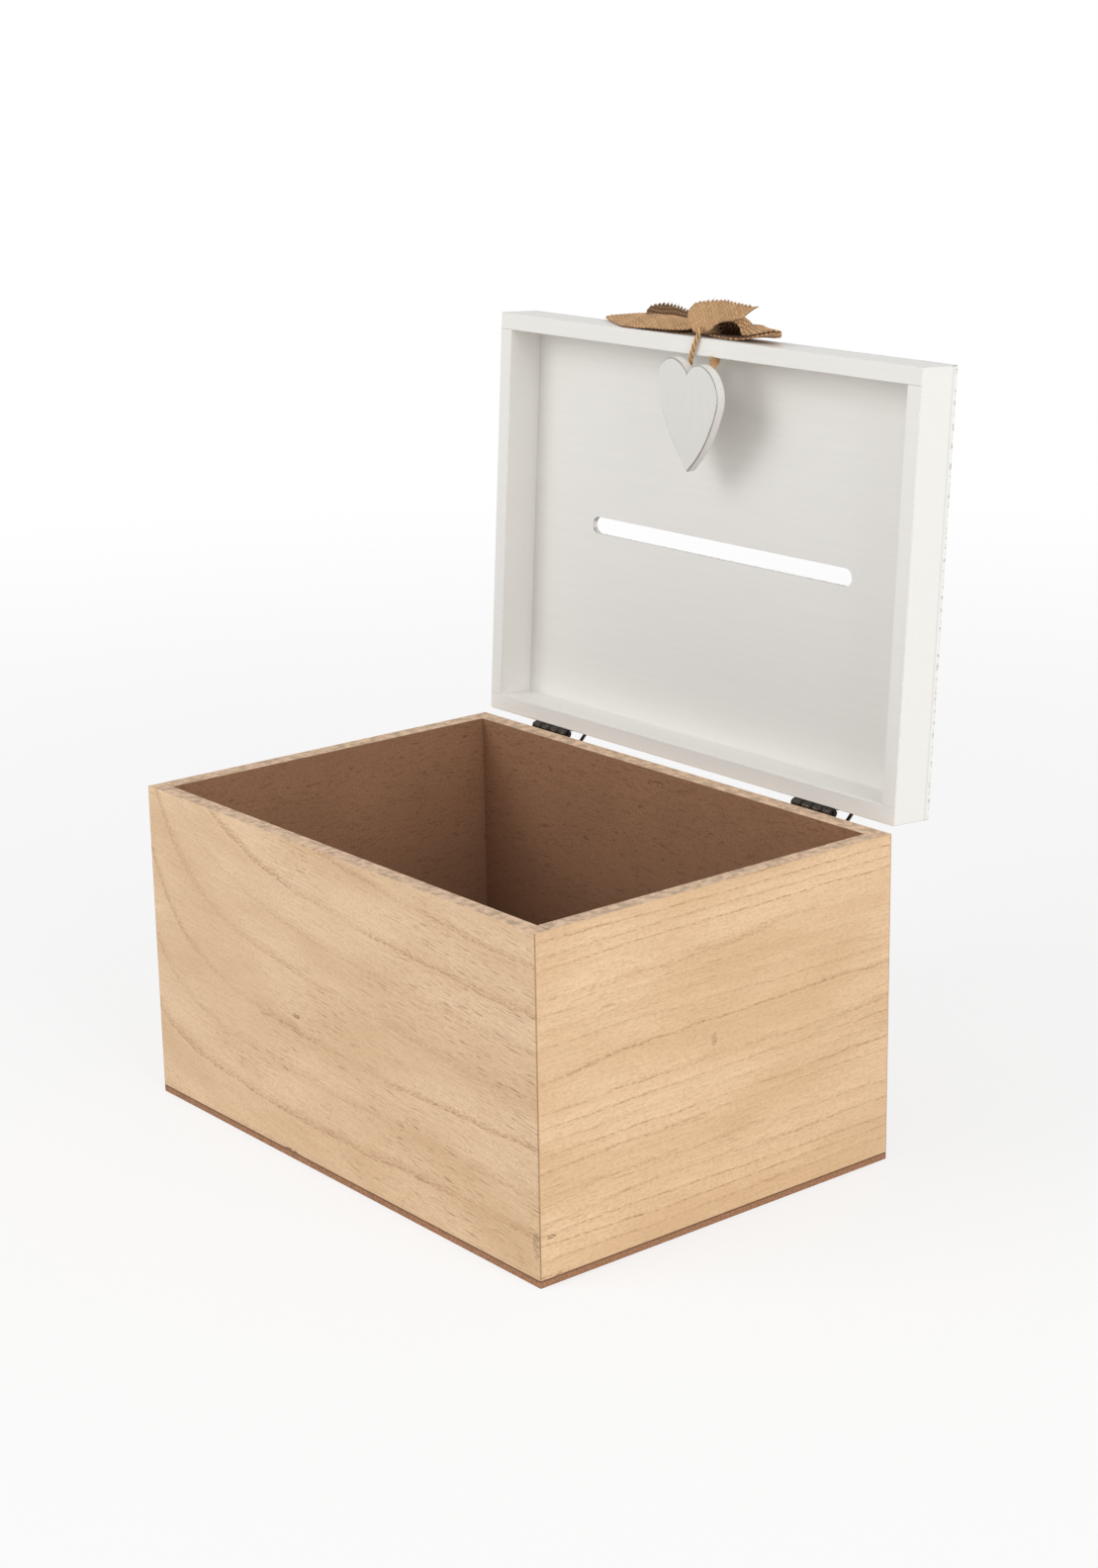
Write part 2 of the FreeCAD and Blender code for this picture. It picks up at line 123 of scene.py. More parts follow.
class CardBoxLooks(PropertyGroup):
    """Colours and sizes of the card box that a user may change."""
    veneer: colour("Veneer", "Pale wood of the box's outside", 226, 198, 164)
    veneer_line: colour("Veneer line", "Growth lines in the veneer", 190, 148, 108)
    veneer_fleck: colour("Veneer fleck", "Short dark pores in the veneer", 142, 104, 72)
    fibreboard: colour("Fibreboard", "Brown board inside the box", 172, 128, 97)
    fibreboard_edge: colour("Fibreboard edge", "Sanded edge of the board round the rim", 222, 191, 162)
    paint: colour("Paint", "White paint of the lid and heart", 240, 238, 233)
    worn_paint: colour("Worn paint", "Grey wood where the paint is rubbed off", 132, 126, 118)
    metal: colour("Hinge metal", "Dark bronze of the hinges", 42, 37, 33)
    hessian: colour("Hessian", "Yarn of the ribbon", 208, 169, 126)
    # Painted shade between the ribbon's yarns, used by the hessian finish.
    hessian_gap_shade: colour("Hessian gap", "Shade between the ribbon's yarns", 108, 72, 46)
    jute: colour("Jute", "Yarn of the twine", 208, 170, 122)
    floor: colour("Floor", "Pale studio floor", 250, 250, 250)
    yarn_pitch: size("Yarn pitch", "Distance between yarns of the ribbon", 1.9)
    ribbon_thickness: size("Ribbon thickness", "Thickness of the hessian", 0.8)
    weave_relief: size("Weave relief", "Height of a yarn over its neighbours", 0.4)
    tooth_pitch: size("Tooth pitch", "Distance between teeth of the pinked ends", 2.65)
    tooth_depth: size("Tooth depth", "Depth of the pinked teeth", 2.4)
    twine_thickness: size("Twine thickness", "All strands of the twine together", 2.3)
    twine_lay: size("Twine lay", "Length of one full turn of the twine's strands", 10.0)


def looks():
    """The scene's own values."""
    return bpy.context.scene.card_box_looks


def toned(tone, *shares):
    """A colour made darker or paler, by one share for all its parts or by one for each."""
    if len(shares) == 1:
        shares = shares * 3
    return tuple(min(1.0, part * share) for part, share in zip(tone, shares))


class Wiring:
    """Adds nodes to a node tree and wires them."""

    def __init__(self, tree):
        self.tree = tree

    def feed(self, target, value):
        """Link a socket to an input, or set the input to a plain value."""
        if isinstance(value, bpy.types.NodeSocket):
            self.tree.links.new(value, target)
        elif target.type == "RGBA":
            target.default_value = (*value[:3], 1.0)
        else:
            target.default_value = value

    def add(self, kind, inputs=None, **settings):
        """Add a node; an input is a plain value or the socket that feeds it."""
        node = self.tree.nodes.new("ShaderNode" + kind)
        for key, value in settings.items():
            setattr(node, key, value)
        for key, value in (inputs or {}).items():
            self.feed(node.inputs[key], value)
        return node

    def math(self, operation, first, second=0.0, third=0.0):
        return self.add("Math", {0: first, 1: second, 2: third}, operation=operation).outputs[0]

    def plus(self, first, second):
        return self.math("ADD", first, second)

    def minus(self, first, second):
        return self.math("SUBTRACT", first, second)

    def times(self, first, second):
        return self.math("MULTIPLY", first, second)

    def over(self, first, second):
        return self.math("DIVIDE", first, second)

    def most(self, first, second):
        return self.math("MAXIMUM", first, second)

    def least(self, first, second):
        return self.math("MINIMUM", first, second)

    def unsigned(self, value):
        return self.math("ABSOLUTE", value)

    def seen(self):
        """1 for what the camera sees, also in metal or through glass, and 0 for light on the object."""
        path = self.add("LightPath").outputs
        direct = self.most(path["Is Camera Ray"], path["Is Glossy Ray"])
        return self.most(direct, path["Is Transmission Ray"])


class Finish(Wiring):
    """A material while its nodes are being wired."""

    SOCKETS = {
        "base": "Base Color",
        "roughness": "Roughness",
        "normal": "Normal",
        "metallic": "Metallic",
        "specular": "Specular IOR Level",
        "sheen": "Sheen Weight",
    }

    def __init__(self, name):
        self.material = bpy.data.materials.new(name)
        self.material.use_nodes = True
        super().__init__(self.material.node_tree)
        self.tree.nodes.clear()
        self.output = self.add("OutputMaterial")
        self.shader = self.add("BsdfPrincipled")
        self.feed(self.output.inputs[0], self.shader.outputs[0])
        coordinates = self.add("TexCoord").outputs
        self.object_place = coordinates["Object"]
        self.object_normal = coordinates["Normal"]

    def place(self, scale=TO_MM):
        """Object coordinates, in millimetres unless another scale is given."""
        return self.add("Mapping", {"Vector": self.object_place, "Scale": scale}).outputs[0]

    def vector(self, operation, first, second=(0, 0, 0)):
        node = self.add("VectorMath", {0: first, 1: second}, operation=operation)
        return node.outputs["Value" if operation in ("DOT_PRODUCT", "DISTANCE") else "Vector"]

    def parts(self, place):
        """The x, y and z of a place."""
        return self.add("SeparateXYZ", {0: place}).outputs

    def joined(self, x=0.0, y=0.0, z=0.0):
        """A place from its x, y and z."""
        return self.add("CombineXYZ", {0: x, 1: y, 2: z}).outputs[0]

    def noise(self, place, scale, detail=2.0, roughness=0.5):
        node = self.add("TexNoise", {
            "Vector": place, "Scale": scale, "Detail": detail, "Roughness": roughness})
        return node.outputs["Fac"]

    def streaks(self, place, scales, detail=2.0, roughness=0.5):
        """Noise with a scale of its own along each axis."""
        return self.noise(self.vector("MULTIPLY", place, scales), 1.0, detail, roughness)

    def between(self, value, low, high, at_low=0.0, at_high=1.0):
        """Smooth step from at_low, where a value is low, to at_high, where it is high."""
        span = {"Value": value, "From Min": low, "From Max": high, "To Min": at_low, "To Max": at_high}
        return self.add("MapRange", span, interpolation_type="SMOOTHSTEP").outputs[0]

    def mix(self, share, first, second):
        """Mix two colours."""
        return self.add("Mix", {0: share, 6: first, 7: second}, data_type="RGBA").outputs[2]

    def bump(self, height, strength, distance):
        return self.add("Bump", {"Height": height, "Strength": strength, "Distance": distance}).outputs[0]

    def surface(self, **values):
        """Feed the shader and hand over the material."""
        for key, value in values.items():
            self.feed(self.shader.inputs[self.SOCKETS[key]], value)
        return self.material


def dress(material, *nodes):
    """Give CAD nodes a finish."""
    for name in nodes:
        piece = frame["nodes"][name]
        if not piece.material_slots:
            piece.data.materials.append(material)
        for slot in piece.material_slots:
            slot.material = material


def only(*pieces):
    """Select these objects and nothing else."""
    bpy.ops.object.select_all(action="DESELECT")
    for piece in pieces:
        piece.select_set(True)
    bpy.context.view_layer.objects.active = pieces[0]


def spot(finish, run, height, centre, reach, ragged):
    """1 inside an uneven oval mark on a face, falling to 0 round it; all in millimetres."""
    unevenness = 2.2
    across = finish.over(finish.minus(run, centre[0]), reach[0])
    up = finish.over(finish.minus(height, centre[1]), reach[1])
    away = finish.plus(finish.times(across, across), finish.times(up, up))
    away = finish.plus(away, finish.times(finish.minus(ragged, 0.5), unevenness))
    return finish.between(away, 0.2, 1.0, 1.0, 0.0)


def ring_lines(wood, grain, level, seed, arch, spacing, drifting):
    """Strength of the veneer's growth lines, and of the darker late wood before each of them."""
    ripple_height = 5.0
    line_width = 0.7 / spacing
    fade_width = 2.6 + 4.4 * arch
    drift = wood.times(wood.minus(wood.streaks(grain, (0.002, 0.03, 1)), 0.5), drifting)
    ripple = wood.times(wood.minus(wood.streaks(grain, (0.03, 0.05, 1), 4.0, 0.6), 0.5), ripple_height)
    ring = wood.over(wood.plus(level, wood.plus(drift, ripple)), spacing)
    phase = wood.math("FRACT", ring)
    ring_number = wood.plus(wood.math("FLOOR", ring), seed)
    strength = wood.add("TexWhiteNoise", {"W": ring_number}, noise_dimensions="1D").outputs["Value"]
    fading = wood.between(phase, 0.0, fade_width * line_width, 1.0, 0.0)
    starting = wood.between(phase, 1.0 - 0.6 * line_width, 1.0)
    lines = wood.times(wood.most(fading, starting), wood.between(strength, 0.0, 0.9, 0.3, 1.0))
    late_wood = wood.between(phase, 0.3, 1.0, 0.0, 0.1)
    return lines, late_wood


def veneer_finish(name, along, seed, arch, spacing, drifting, lines, flecks, tint=(1, 1, 1), marks=()):
    """Pale veneer with growth rings and pores.

    along is the axis number of its grain, and seed sets its figure apart from the other faces'. arch, 0 or
    1, bends its rings, and spacing and drifting place them, in millimetres. lines and flecks say how dark
    the growth lines and pores are, tint colours the face, and a mark has a middle, a reach and a darkness.
    """
    own = looks()
    wood = Finish(name)
    axes = wood.parts(wood.place())
    run, height = axes[along], axes[2]
    arch_rise, arch_origin, pore_tilt = 41.5 * arch, 178, 0.11 * arch
    swoop = wood.over(arch_rise, wood.plus(run, arch_origin))
    level = wood.over(height, wood.plus(swoop, 1.0))
    grain = wood.joined(run, level, seed)
    straight = wood.joined(run, wood.math("MULTIPLY_ADD", run, pore_tilt, height), seed)

    band, late_wood = ring_lines(wood, grain, level, seed, arch, spacing, drifting)
    speck = wood.between(wood.streaks(straight, (0.4, 1.7, 1), 2.0, 0.6), 0.48, 0.56)
    patch = wood.between(wood.streaks(grain, (0.014, 0.05, 1)), 0.3, 0.6, 0.35, 1.0)
    dotted = wood.times(band, wood.math("MULTIPLY_ADD", speck, 0.8, 0.2))
    line = wood.times(wood.times(dotted, patch), lines)

    fibre = wood.streaks(straight, (0.05, 2.1, 1), 4.0, 0.65)
    fuzz = wood.streaks(straight, (0.5, 0.9, 1), 3.0, 0.6)
    crowding = wood.math("MULTIPLY_ADD", run, 0.0011 * arch, wood.streaks(straight, (0.012, 0.02, 1)))
    crowd = wood.between(crowding, 0.38, 0.62, 0.15, 1.0)
    pore = wood.between(wood.streaks(straight, (0.085, 1.9, 1), 1.5, 0.6), 0.61, 0.68)
    dark_pore = wood.between(wood.streaks(straight, (0.03, 0.5, 1)), 0.4, 0.62, 0.45, 1.0)
    pore = wood.times(wood.times(pore, crowd), wood.times(dark_pore, flecks))
    hair = wood.between(wood.streaks(straight, (0.15, 3.0, 1), 2.0, 0.6), 0.52, 0.68)
    hair = wood.times(wood.times(hair, crowd), 0.55 * flecks)
    cloud = wood.streaks(straight, (0.012, 0.035, 1), 3.0)

    face = toned(own.veneer, *tint)
    base = wood.mix(wood.between(cloud, 0.28, 0.72), toned(face, 0.98, 0.93, 0.87), toned(face, 1.14))
    base = wood.mix(late_wood, base, own.veneer_line)
    base = wood.mix(wood.between(fibre, 0.35, 0.75, 0.0, 0.24 + 0.18 * arch), base, own.veneer_line)
    base = wood.mix(wood.between(fuzz, 0.4, 0.75, 0.0, 0.35), base, own.veneer_line)
    base = wood.mix(hair, base, own.veneer_line)
    base = wood.mix(line, base, toned(own.veneer_line, 0.78, 0.7, 0.64))
    base = wood.mix(pore, base, own.veneer_fleck)
    half_run = (BOX_HALF_DEPTH if along else BOX_HALF_WIDTH) / MM
    from_corner = wood.minus(half_run, wood.unsigned(run))
    base = wood.mix(wood.between(from_corner, 0.25, 0.6, 0.6, 0.0), base, own.veneer_fleck)
    for centre, reach, darkness in marks:
        mark = wood.times(spot(wood, run, height, centre, reach, speck), darkness)
        base = wood.mix(mark, base, toned(own.veneer_fleck, 0.45))
    relief = wood.minus(wood.times(fibre, 0.5), pore)
    return wood.surface(
        base=base, roughness=wood.between(fibre, 0.2, 0.8, 0.5, 0.66), specular=0.35,
        normal=wood.bump(relief, 0.25, 0.0002))


def fibreboard_finish():
    """Brown pressed fibreboard with fine fibres, darkened low down by painted shade, and paler on its
    sanded upper edge.
    """
    own = looks()
    board = Finish("brown_fibreboard")
    place = board.place()
    height = board.parts(place)[2]
    fine = board.noise(place, 0.8, 5.0, 0.75)
    cloud = board.noise(place, 0.03, 3.0, 0.55)
    fibre = board.streaks(place, (0.16, 0.16, 0.9), 4.0, 0.7)
    fleck = board.streaks(place, (0.15, 0.15, 0.75), 2.0, 0.6)
    dust = board.between(board.noise(place, 0.5, 1.0), 0.78, 0.82)
    # Painted shade: the board turns darker towards the bottom of the box, where the deep inside gets less
    # light.
    base = board.mix(board.between(height, 20.0, 150.0), toned(own.fibreboard, 0.68), own.fibreboard)
    base = board.mix(board.between(cloud, 0.3, 0.72, 0.0, 0.3), base, toned(own.fibreboard, 0.7))
    base = board.mix(board.between(fleck, 0.62, 0.7, 0.0, 0.6), base, toned(own.fibreboard, 0.35))
    base = board.mix(board.between(fine, 0.38, 0.68, 0.0, 0.5), base, toned(own.fibreboard, 0.5))
    base = board.mix(board.between(fibre, 0.5, 0.72, 0.0, 0.55), base, toned(own.fibreboard, 0.45))
    base = board.mix(board.times(dust, 0.4), base, own.fibreboard_edge)
    streak = board.streaks(place, (0.2, 0.2, 2.0), 4.0, 0.65)
    sanded = own.fibreboard_edge
    edge = board.mix(board.between(streak, 0.36, 0.62), toned(sanded, 0.68), toned(sanded, 1.1))
    facing_up = board.parts(board.object_normal)[2]
    base = board.mix(board.between(facing_up, 0.3, 0.6), base, edge)
    return board.surface(base=base, roughness=0.8, specular=0.25, normal=board.bump(fine, 0.3, 0.0003))


def base_board_finish():
    """Thin base board, brown on its face and sawn edge, with painted shade as a dark band in the recess
    under the veneer.
    """
    own = looks()
    board = Finish("base_fibreboard")
    place = board.place()
    fine = board.noise(place, 0.9, 4.0, 0.7)
    pale, dark = toned(own.fibreboard, 1.15), toned(own.fibreboard, 0.55)
    base = board.mix(board.between(fine, 0.3, 0.75), pale, dark)
    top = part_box("base_board")[1][2] / MM
    # Painted shade: a dark band just below the top of the board, in the recess under the veneer.
    groove_shade = board.between(board.parts(place)[2], top - 1.1, top - 0.3, 0.0, 0.85)
    base = board.mix(groove_shade, base, toned(own.fibreboard, 0.3))
    return board.surface(base=base, roughness=0.8, specular=0.25, normal=board.bump(fine, 0.3, 0.0002))


def wear(paint, edge_distance, bevel, place):
    """Share of paint that is rubbed away, near an edge and on the bevelled edges themselves."""
    raggedness = 1.8
    broad = paint.noise(place, 0.035, 3.0, 0.6)
    fine = paint.noise(place, 0.6, 4.0, 0.65)
    reach = paint.between(broad, 0.42, 0.75, -0.1, 1.3)
    near = paint.minus(reach, edge_distance)
    near = paint.plus(near, paint.times(paint.minus(fine, 0.5), raggedness))
    rubbed = paint.between(near, 0.15, 0.75)
    edge = paint.times(bevel, paint.between(fine, 0.34, 0.56))
    return paint.most(rubbed, edge)


def bevel_share(paint, normal):
    """1 on faces that lean between the main axes, as a bevelled edge does."""
    x, y, z = paint.parts(paint.vector("ABSOLUTE", normal))
    largest = paint.most(paint.most(x, y), z)
    return paint.between(largest, 0.86, 0.97, 1.0, 0.0)


def lid_finish():
    """White paint, rubbed along the lid's edges, with a grey seam under the panel."""
    own = looks()
    paint = Finish("white_lid_paint")
    shut = paint.add("VectorRotate", {
        "Vector": paint.object_place, "Center": tuple(HINGE), "Angle": -LID_TURN},
        rotation_type="X_AXIS").outputs[0]
    normal = paint.add("VectorRotate", {
        "Vector": paint.object_normal, "Angle": -LID_TURN}, rotation_type="X_AXIS").outputs[0]
    place = paint.vector("MULTIPLY", shut, TO_MM)
    x, y, z = paint.parts(place)
    rim, wall_top, top = LID_RIM_Z / MM, LID_WALL_TOP_Z / MM, LID_TOP_Z / MM
    middle_y = (LID_FRONT_Y + LID_BACK_Y) / 2 / MM
    half_depth = (LID_BACK_Y - LID_FRONT_Y) / 2 / MM

    # The middle one of the distances to the sides, to front or back and to rim or top is that to an edge
    to_side = paint.minus(LID_HALF_WIDTH / MM, paint.unsigned(x))
    to_front = paint.minus(half_depth, paint.unsigned(paint.minus(y, middle_y)))
    to_rim = paint.least(paint.minus(z, rim), paint.minus(top, z))
    lower, upper = paint.least(to_side, to_front), paint.most(to_side, to_front)
    edge_distance = paint.most(lower, paint.least(upper, to_rim))
    rubbed = wear(paint, edge_distance, bevel_share(paint, normal), place)
    handled = paint.between(z, wall_top - 2.0, wall_top + 1.0, 0.18, 1.0)
    rubbed = paint.times(rubbed, handled)
    on_side = paint.between(paint.parts(normal)[2], 0.3, 0.6, 1.0, 0.0)
    scuffs = paint.between(paint.noise(place, 0.35, 4.0, 0.7), 0.5, 0.62)
    scuffs = paint.times(paint.times(paint.between(z, top - 2.2, top - 0.5), scuffs), on_side)
    rubbed = paint.most(rubbed, scuffs)

    brush = paint.streaks(place, (0.02, 0.5, 0.5), 3.0, 0.6)
    base = paint.mix(paint.between(brush, 0.3, 0.7), toned(own.paint, 0.982), own.paint)
    base = paint.mix(paint.times(rubbed, 0.7), base, own.worn_paint)
    level_face = paint.parts(paint.vector("ABSOLUTE", normal))[2]
    seam = paint.between(paint.unsigned(paint.minus(wall_top, z)), 0.25, 0.7, 1.0, 0.0)
    seam = paint.times(seam, paint.between(level_face, 0.3, 0.6, 0.16, 0.0))
    base = paint.mix(seam, base, own.worn_paint)
    relief = paint.minus(paint.times(brush, 0.25), rubbed)
    return paint.surface(
        base=base, roughness=paint.between(rubbed, 0.0, 1.0, 0.48, 0.8), specular=0.4,
        normal=paint.bump(relief, 0.2, 0.0002))


def heart_finish():
    """White paint with a thin rubbed line along the heart's outline, which is two lobes and two flanks."""
    own = looks()
    paint = Finish("white_heart_paint")
    place = paint.vector("MULTIPLY", paint.object_place, TO_MM)
    about_z, about_x, about_y = (math.radians(angle) for angle in HEART_HANG)
    hang = Matrix.Rotation(about_z, 3, "Z") @ Matrix.Rotation(about_x, 3, "X")
    hang = hang @ Matrix.Rotation(about_y, 3, "Y")
    from_notch = paint.vector("SUBTRACT", place, HEART_NOTCH)
    along = paint.unsigned(paint.vector("DOT_PRODUCT", from_notch, tuple(hang.col[0])))
    up = paint.vector("DOT_PRODUCT", from_notch, tuple(hang.col[2]))
    flat = paint.joined(along, up)

    lobe_middle, flank_middle = (*HEART_LOBE[:2], 0), (*HEART_FLANK[:2], 0)
    in_lobe = paint.minus(HEART_LOBE[2], paint.vector("DISTANCE", flat, lobe_middle))
    in_flank = paint.minus(HEART_FLANK[2], paint.vector("DISTANCE", flat, flank_middle))
    slope = math.radians(HEART_ARC_SLOPE)
    above = paint.vector("DOT_PRODUCT", paint.vector("SUBTRACT", flat, lobe_middle),
                         (math.sin(slope), math.cos(slope), 0))
    above = paint.math("GREATER_THAN", above, 0.0)
    depth = paint.plus(paint.times(in_lobe, above), paint.times(in_flank, paint.minus(1.0, above)))

    facing = paint.vector("DOT_PRODUCT", paint.object_normal, tuple(hang.col[1]))
    on_face = paint.between(paint.unsigned(facing), 0.4, 0.6)
    fine = paint.noise(place, 0.9, 3.0, 0.6)
    broad = paint.noise(place, 0.07, 2.0)
    uneven_depth = paint.plus(depth, paint.times(paint.minus(fine, 0.5), 0.5))
    uneven_depth = paint.minus(uneven_depth, paint.between(broad, 0.35, 0.7, -0.12, 0.2))
    rubbed = paint.times(paint.between(uneven_depth, 0.35, 0.7, 1.0, 0.0), on_face)
    brush = paint.streaks(place, (0.4, 0.4, 0.06), 3.0, 0.6)
    base = paint.mix(paint.between(brush, 0.3, 0.7), toned(own.paint, 0.91), toned(own.paint, 0.93))
    base = paint.mix(paint.times(rubbed, 0.75), base, own.worn_paint)
    relief = paint.minus(paint.times(brush, 0.25), rubbed)
    return paint.surface(base=base, roughness=0.5, specular=0.4, normal=paint.bump(relief, 0.2, 0.0002))


def hinge_finish():
    """Dark bronze with painted shade at the gaps between the knuckles, and lighter in the middle of each
    knuckle, partly as rubbed wear and partly as a painted highlight.
    """
    own = looks()
    metal = Finish("dark_bronze")
    place = metal.place()
    fine = metal.noise(place, 0.7, 4.0, 0.65)
    cloud = metal.noise(place, 0.15, 2.0)
    x, y, z = metal.parts(place)
    along = metal.over(metal.minus(metal.unsigned(x), BARREL_START), KNUCKLE_LENGTH)
    from_gap = metal.math("PINGPONG", along, 0.5)
    from_pin = metal.vector("DISTANCE", metal.joined(y=y, z=z), (0, HINGE.y / MM, HINGE.z / MM))
    from_gap = metal.most(from_gap, metal.between(from_pin, 3.2, 3.6, 0.0, 0.2))
    # Lighter metal in the middle of each knuckle: partly rubbed wear, partly a painted highlight.
    rubbed = metal.times(metal.between(from_gap, 0.08, 0.3), metal.between(fine, 0.4, 0.66))
    # Painted shade: darker at both ends of each knuckle, where the gaps between the knuckles are in shade.
    base = metal.mix(metal.between(from_gap, 0.02, 0.12), toned(own.metal, 0.55), own.metal)
    base = metal.mix(rubbed, base, toned(own.metal, 4.5))
    return metal.surface(
        base=base, metallic=0.8, roughness=metal.between(cloud, 0.3, 0.7, 0.28, 0.5),
        normal=metal.bump(fine, 0.15, 0.0001))


def hessian_finish(name, shadow, contrast):
    """Woven jute from the weave kept on the mesh; shadow darkens the whole ribbon as painted shade, and
    contrast sets the painted shade in the gaps between its yarns.
    """
    own = looks()
    cloth = Finish(name)
    weave = cloth.add("Attribute", attribute_name="weave").outputs["Fac"]
    yarn = cloth.add("Attribute", attribute_name="yarn").outputs["Fac"]
    place = cloth.add("UVMap").outputs[0]
    fibre = cloth.streaks(place, (2600, 2600, 1), 4.0, 0.7)
    cloud = cloth.streaks(place, (90, 90, 1), 2.0)
    # shadow darkens both yarn colours of a piece, as painted shade.
    light = toned(own.hessian, (1.1 + 0.35 * contrast) * shadow)
    dark = toned(own.hessian, 0.74 * shadow, 0.68 * shadow, 0.62 * shadow)
    base = cloth.mix(cloth.between(yarn, 0.0, 1.0, 0.25, 1.0), dark, light)
    base = cloth.mix(cloth.between(fibre, 0.4, 0.7, 0.0, 0.35), base, dark)
    base = cloth.mix(cloth.between(cloud, 0.35, 0.7, 0.0, 0.3), base, dark)
    # Painted shade: the colour darkens below the crowns of the yarns and goes to the gap shade colour
    # between them.
    base = cloth.mix(cloth.between(weave, 0.5, 1.0, 0.8 * contrast, 0.0), base, dark)
    base = cloth.mix(cloth.between(weave, 0.1, 0.75, contrast, 0.0), base, toned(own.hessian_gap_shade, shadow))
    return cloth.surface(
        base=base, roughness=0.88, specular=0.15, sheen=0.15, normal=cloth.bump(fibre, 0.4, 0.0002))


def jute_finish():
    """Twisted jute yarn, made once; its fibres run slantwise round each strand, and painted shade darkens
    the inner side of each strand where the strands meet.
    """
    made = bpy.data.materials.get("jute_yarn")
    if made:
        return made
    own = looks()
    yarn = Finish("jute_yarn")
    along, turn, _ = yarn.parts(yarn.add("UVMap").outputs[0])
    slant = yarn.plus(turn, yarn.times(along, 420))
    fibre = yarn.noise(yarn.joined(yarn.times(along, 700), yarn.times(slant, 9)), 1.0, 4.0, 0.7)
    cloud = yarn.noise(yarn.place((900, 900, 900)), 0.25, 2.0)
    groove_shade = yarn.add("Attribute", attribute_name="groove_shade").outputs["Fac"]
    dark = toned(own.jute, 0.5, 0.42, 0.34)
    base = yarn.mix(yarn.between(cloud, 0.35, 0.65), own.jute, toned(own.jute, 1.4))
    base = yarn.mix(yarn.between(fibre, 0.42, 0.72, 0.0, 0.6), base, dark)
    # Painted shade on the inner side of each strand, from the value each vertex of the twine keeps.
    base = yarn.mix(yarn.between(groove_shade, 0.03, 0.4, 0.0, 1.0), base, dark)
    return yarn.surface(
        base=base, roughness=0.85, specular=0.15, sheen=0.15, normal=yarn.bump(fibre, 0.5, 0.0002))


def new_piece(name, vertices, faces, flat, finish):
    """A new object, left selected; flat holds the place of each vertex on the finish's own map."""
    mesh = bpy.data.meshes.new(name)
    mesh.from_pydata(vertices, [], faces)
    corners = np.empty(len(mesh.loops), np.int32)
    mesh.loops.foreach_get("vertex_index", corners)
    flat = np.asarray(flat, np.float32)
    mesh.uv_layers.new(name="UVMap").data.foreach_set("uv", flat[corners].ravel())
    mesh.materials.append(finish)
    piece = bpy.data.objects.new(name, mesh)
    bpy.context.scene.collection.objects.link(piece)
    only(piece)
    return piece


def store(piece, name, values):
    """Keep a value for each vertex on a piece, for its finish to read."""
    values = np.asarray(values, np.float32).ravel()
    piece.data.attributes.new(name, "FLOAT", "POINT").data.foreach_set("value", values)


def distances(line):
    """How far along a line each of its points is."""
    return np.concatenate(([0.0], np.cumsum(np.linalg.norm(np.diff(line, axis=0), axis=1))))


def bow_places(points):
    """Points of the bow, in millimetres (along the wall, up from the rim, out from the wall), as places."""
    turn = np.array(OPEN_LID)
    points = np.asarray(points, float) * MM
    shut = np.stack([points[..., 0], LID_FRONT_Y - points[..., 2], LID_RIM_Z + points[..., 1]], -1)
    return shut @ turn[:3, :3].T + turn[:3, 3]


def smooth_line(points, shares, fold=None):
    """Points at these shares of a smooth line through given points.

    The fold, where there is one, is the number of the point that lies at a share of a half.
    """
    points = np.array(points, float)
    knots = distances(points)
    if fold is None:
        knots = knots / knots[-1]
    else:
        first = 0.5 * knots / knots[fold]
        second = 0.5 + 0.5 * (knots - knots[fold]) / (knots[-1] - knots[fold])
        knots = np.where(np.arange(len(knots)) <= fold, first, second)
    slopes = np.gradient(points, knots, axis=0)
    index = np.clip(np.searchsorted(knots, shares) - 1, 0, len(knots) - 2)
    width = (knots[index + 1] - knots[index])[:, None]
    t = (shares - knots[index])[:, None] / width
    rise = points[index + 1] - points[index]
    return (points[index] + t * width * slopes[index] * (1 - t) ** 2 + rise * t * t * (3 - 2 * t)
            + width * slopes[index + 1] * t * t * (t - 1))


def scattered(numbers, spread):
    """A fixed value from 0 to 1 for each number, with no pattern that the eye can see."""
    return np.mod(np.sin(numbers) * spread, 1.0)


def woven(along, across, seed):
    """Height of a plain weave from 0 to 1, and a tint for each yarn, from cloth coordinates in yarns."""
    warp_sway, weft_sway = 0.16, 0.12
    flatness, float_length = 1.2, 0.5
    warp_at = across + warp_sway * np.sin(along * 0.7 + seed)
    weft_at = along + (weft_sway * np.sin(along * 0.9 + seed) + weft_sway * np.sin(across * 1.1 + 2 * seed))
    column, row = np.floor(warp_at), np.floor(weft_at)
    checker = np.cos(math.pi * (column + row))
    warp_round = np.maximum(np.cos(math.pi * (warp_at - column - 0.5)), 0.0)
    weft_round = np.maximum(np.cos(math.pi * (weft_at - row - 0.5)), 0.0)
    warp = warp_round ** flatness * (0.5 + 0.5 * checker * weft_round ** float_length)
    weft = weft_round ** flatness * (0.5 - 0.5 * checker * warp_round ** float_length)
    warp_tint = scattered(column * 12.9898 + seed, 43758.5453)
    weft_tint = scattered(row * 78.233 + 3 * seed, 24634.6345)
    height = np.clip(np.maximum(warp, weft), 0.0, 1.0)
    return height, np.where(warp > weft, warp_tint, weft_tint)


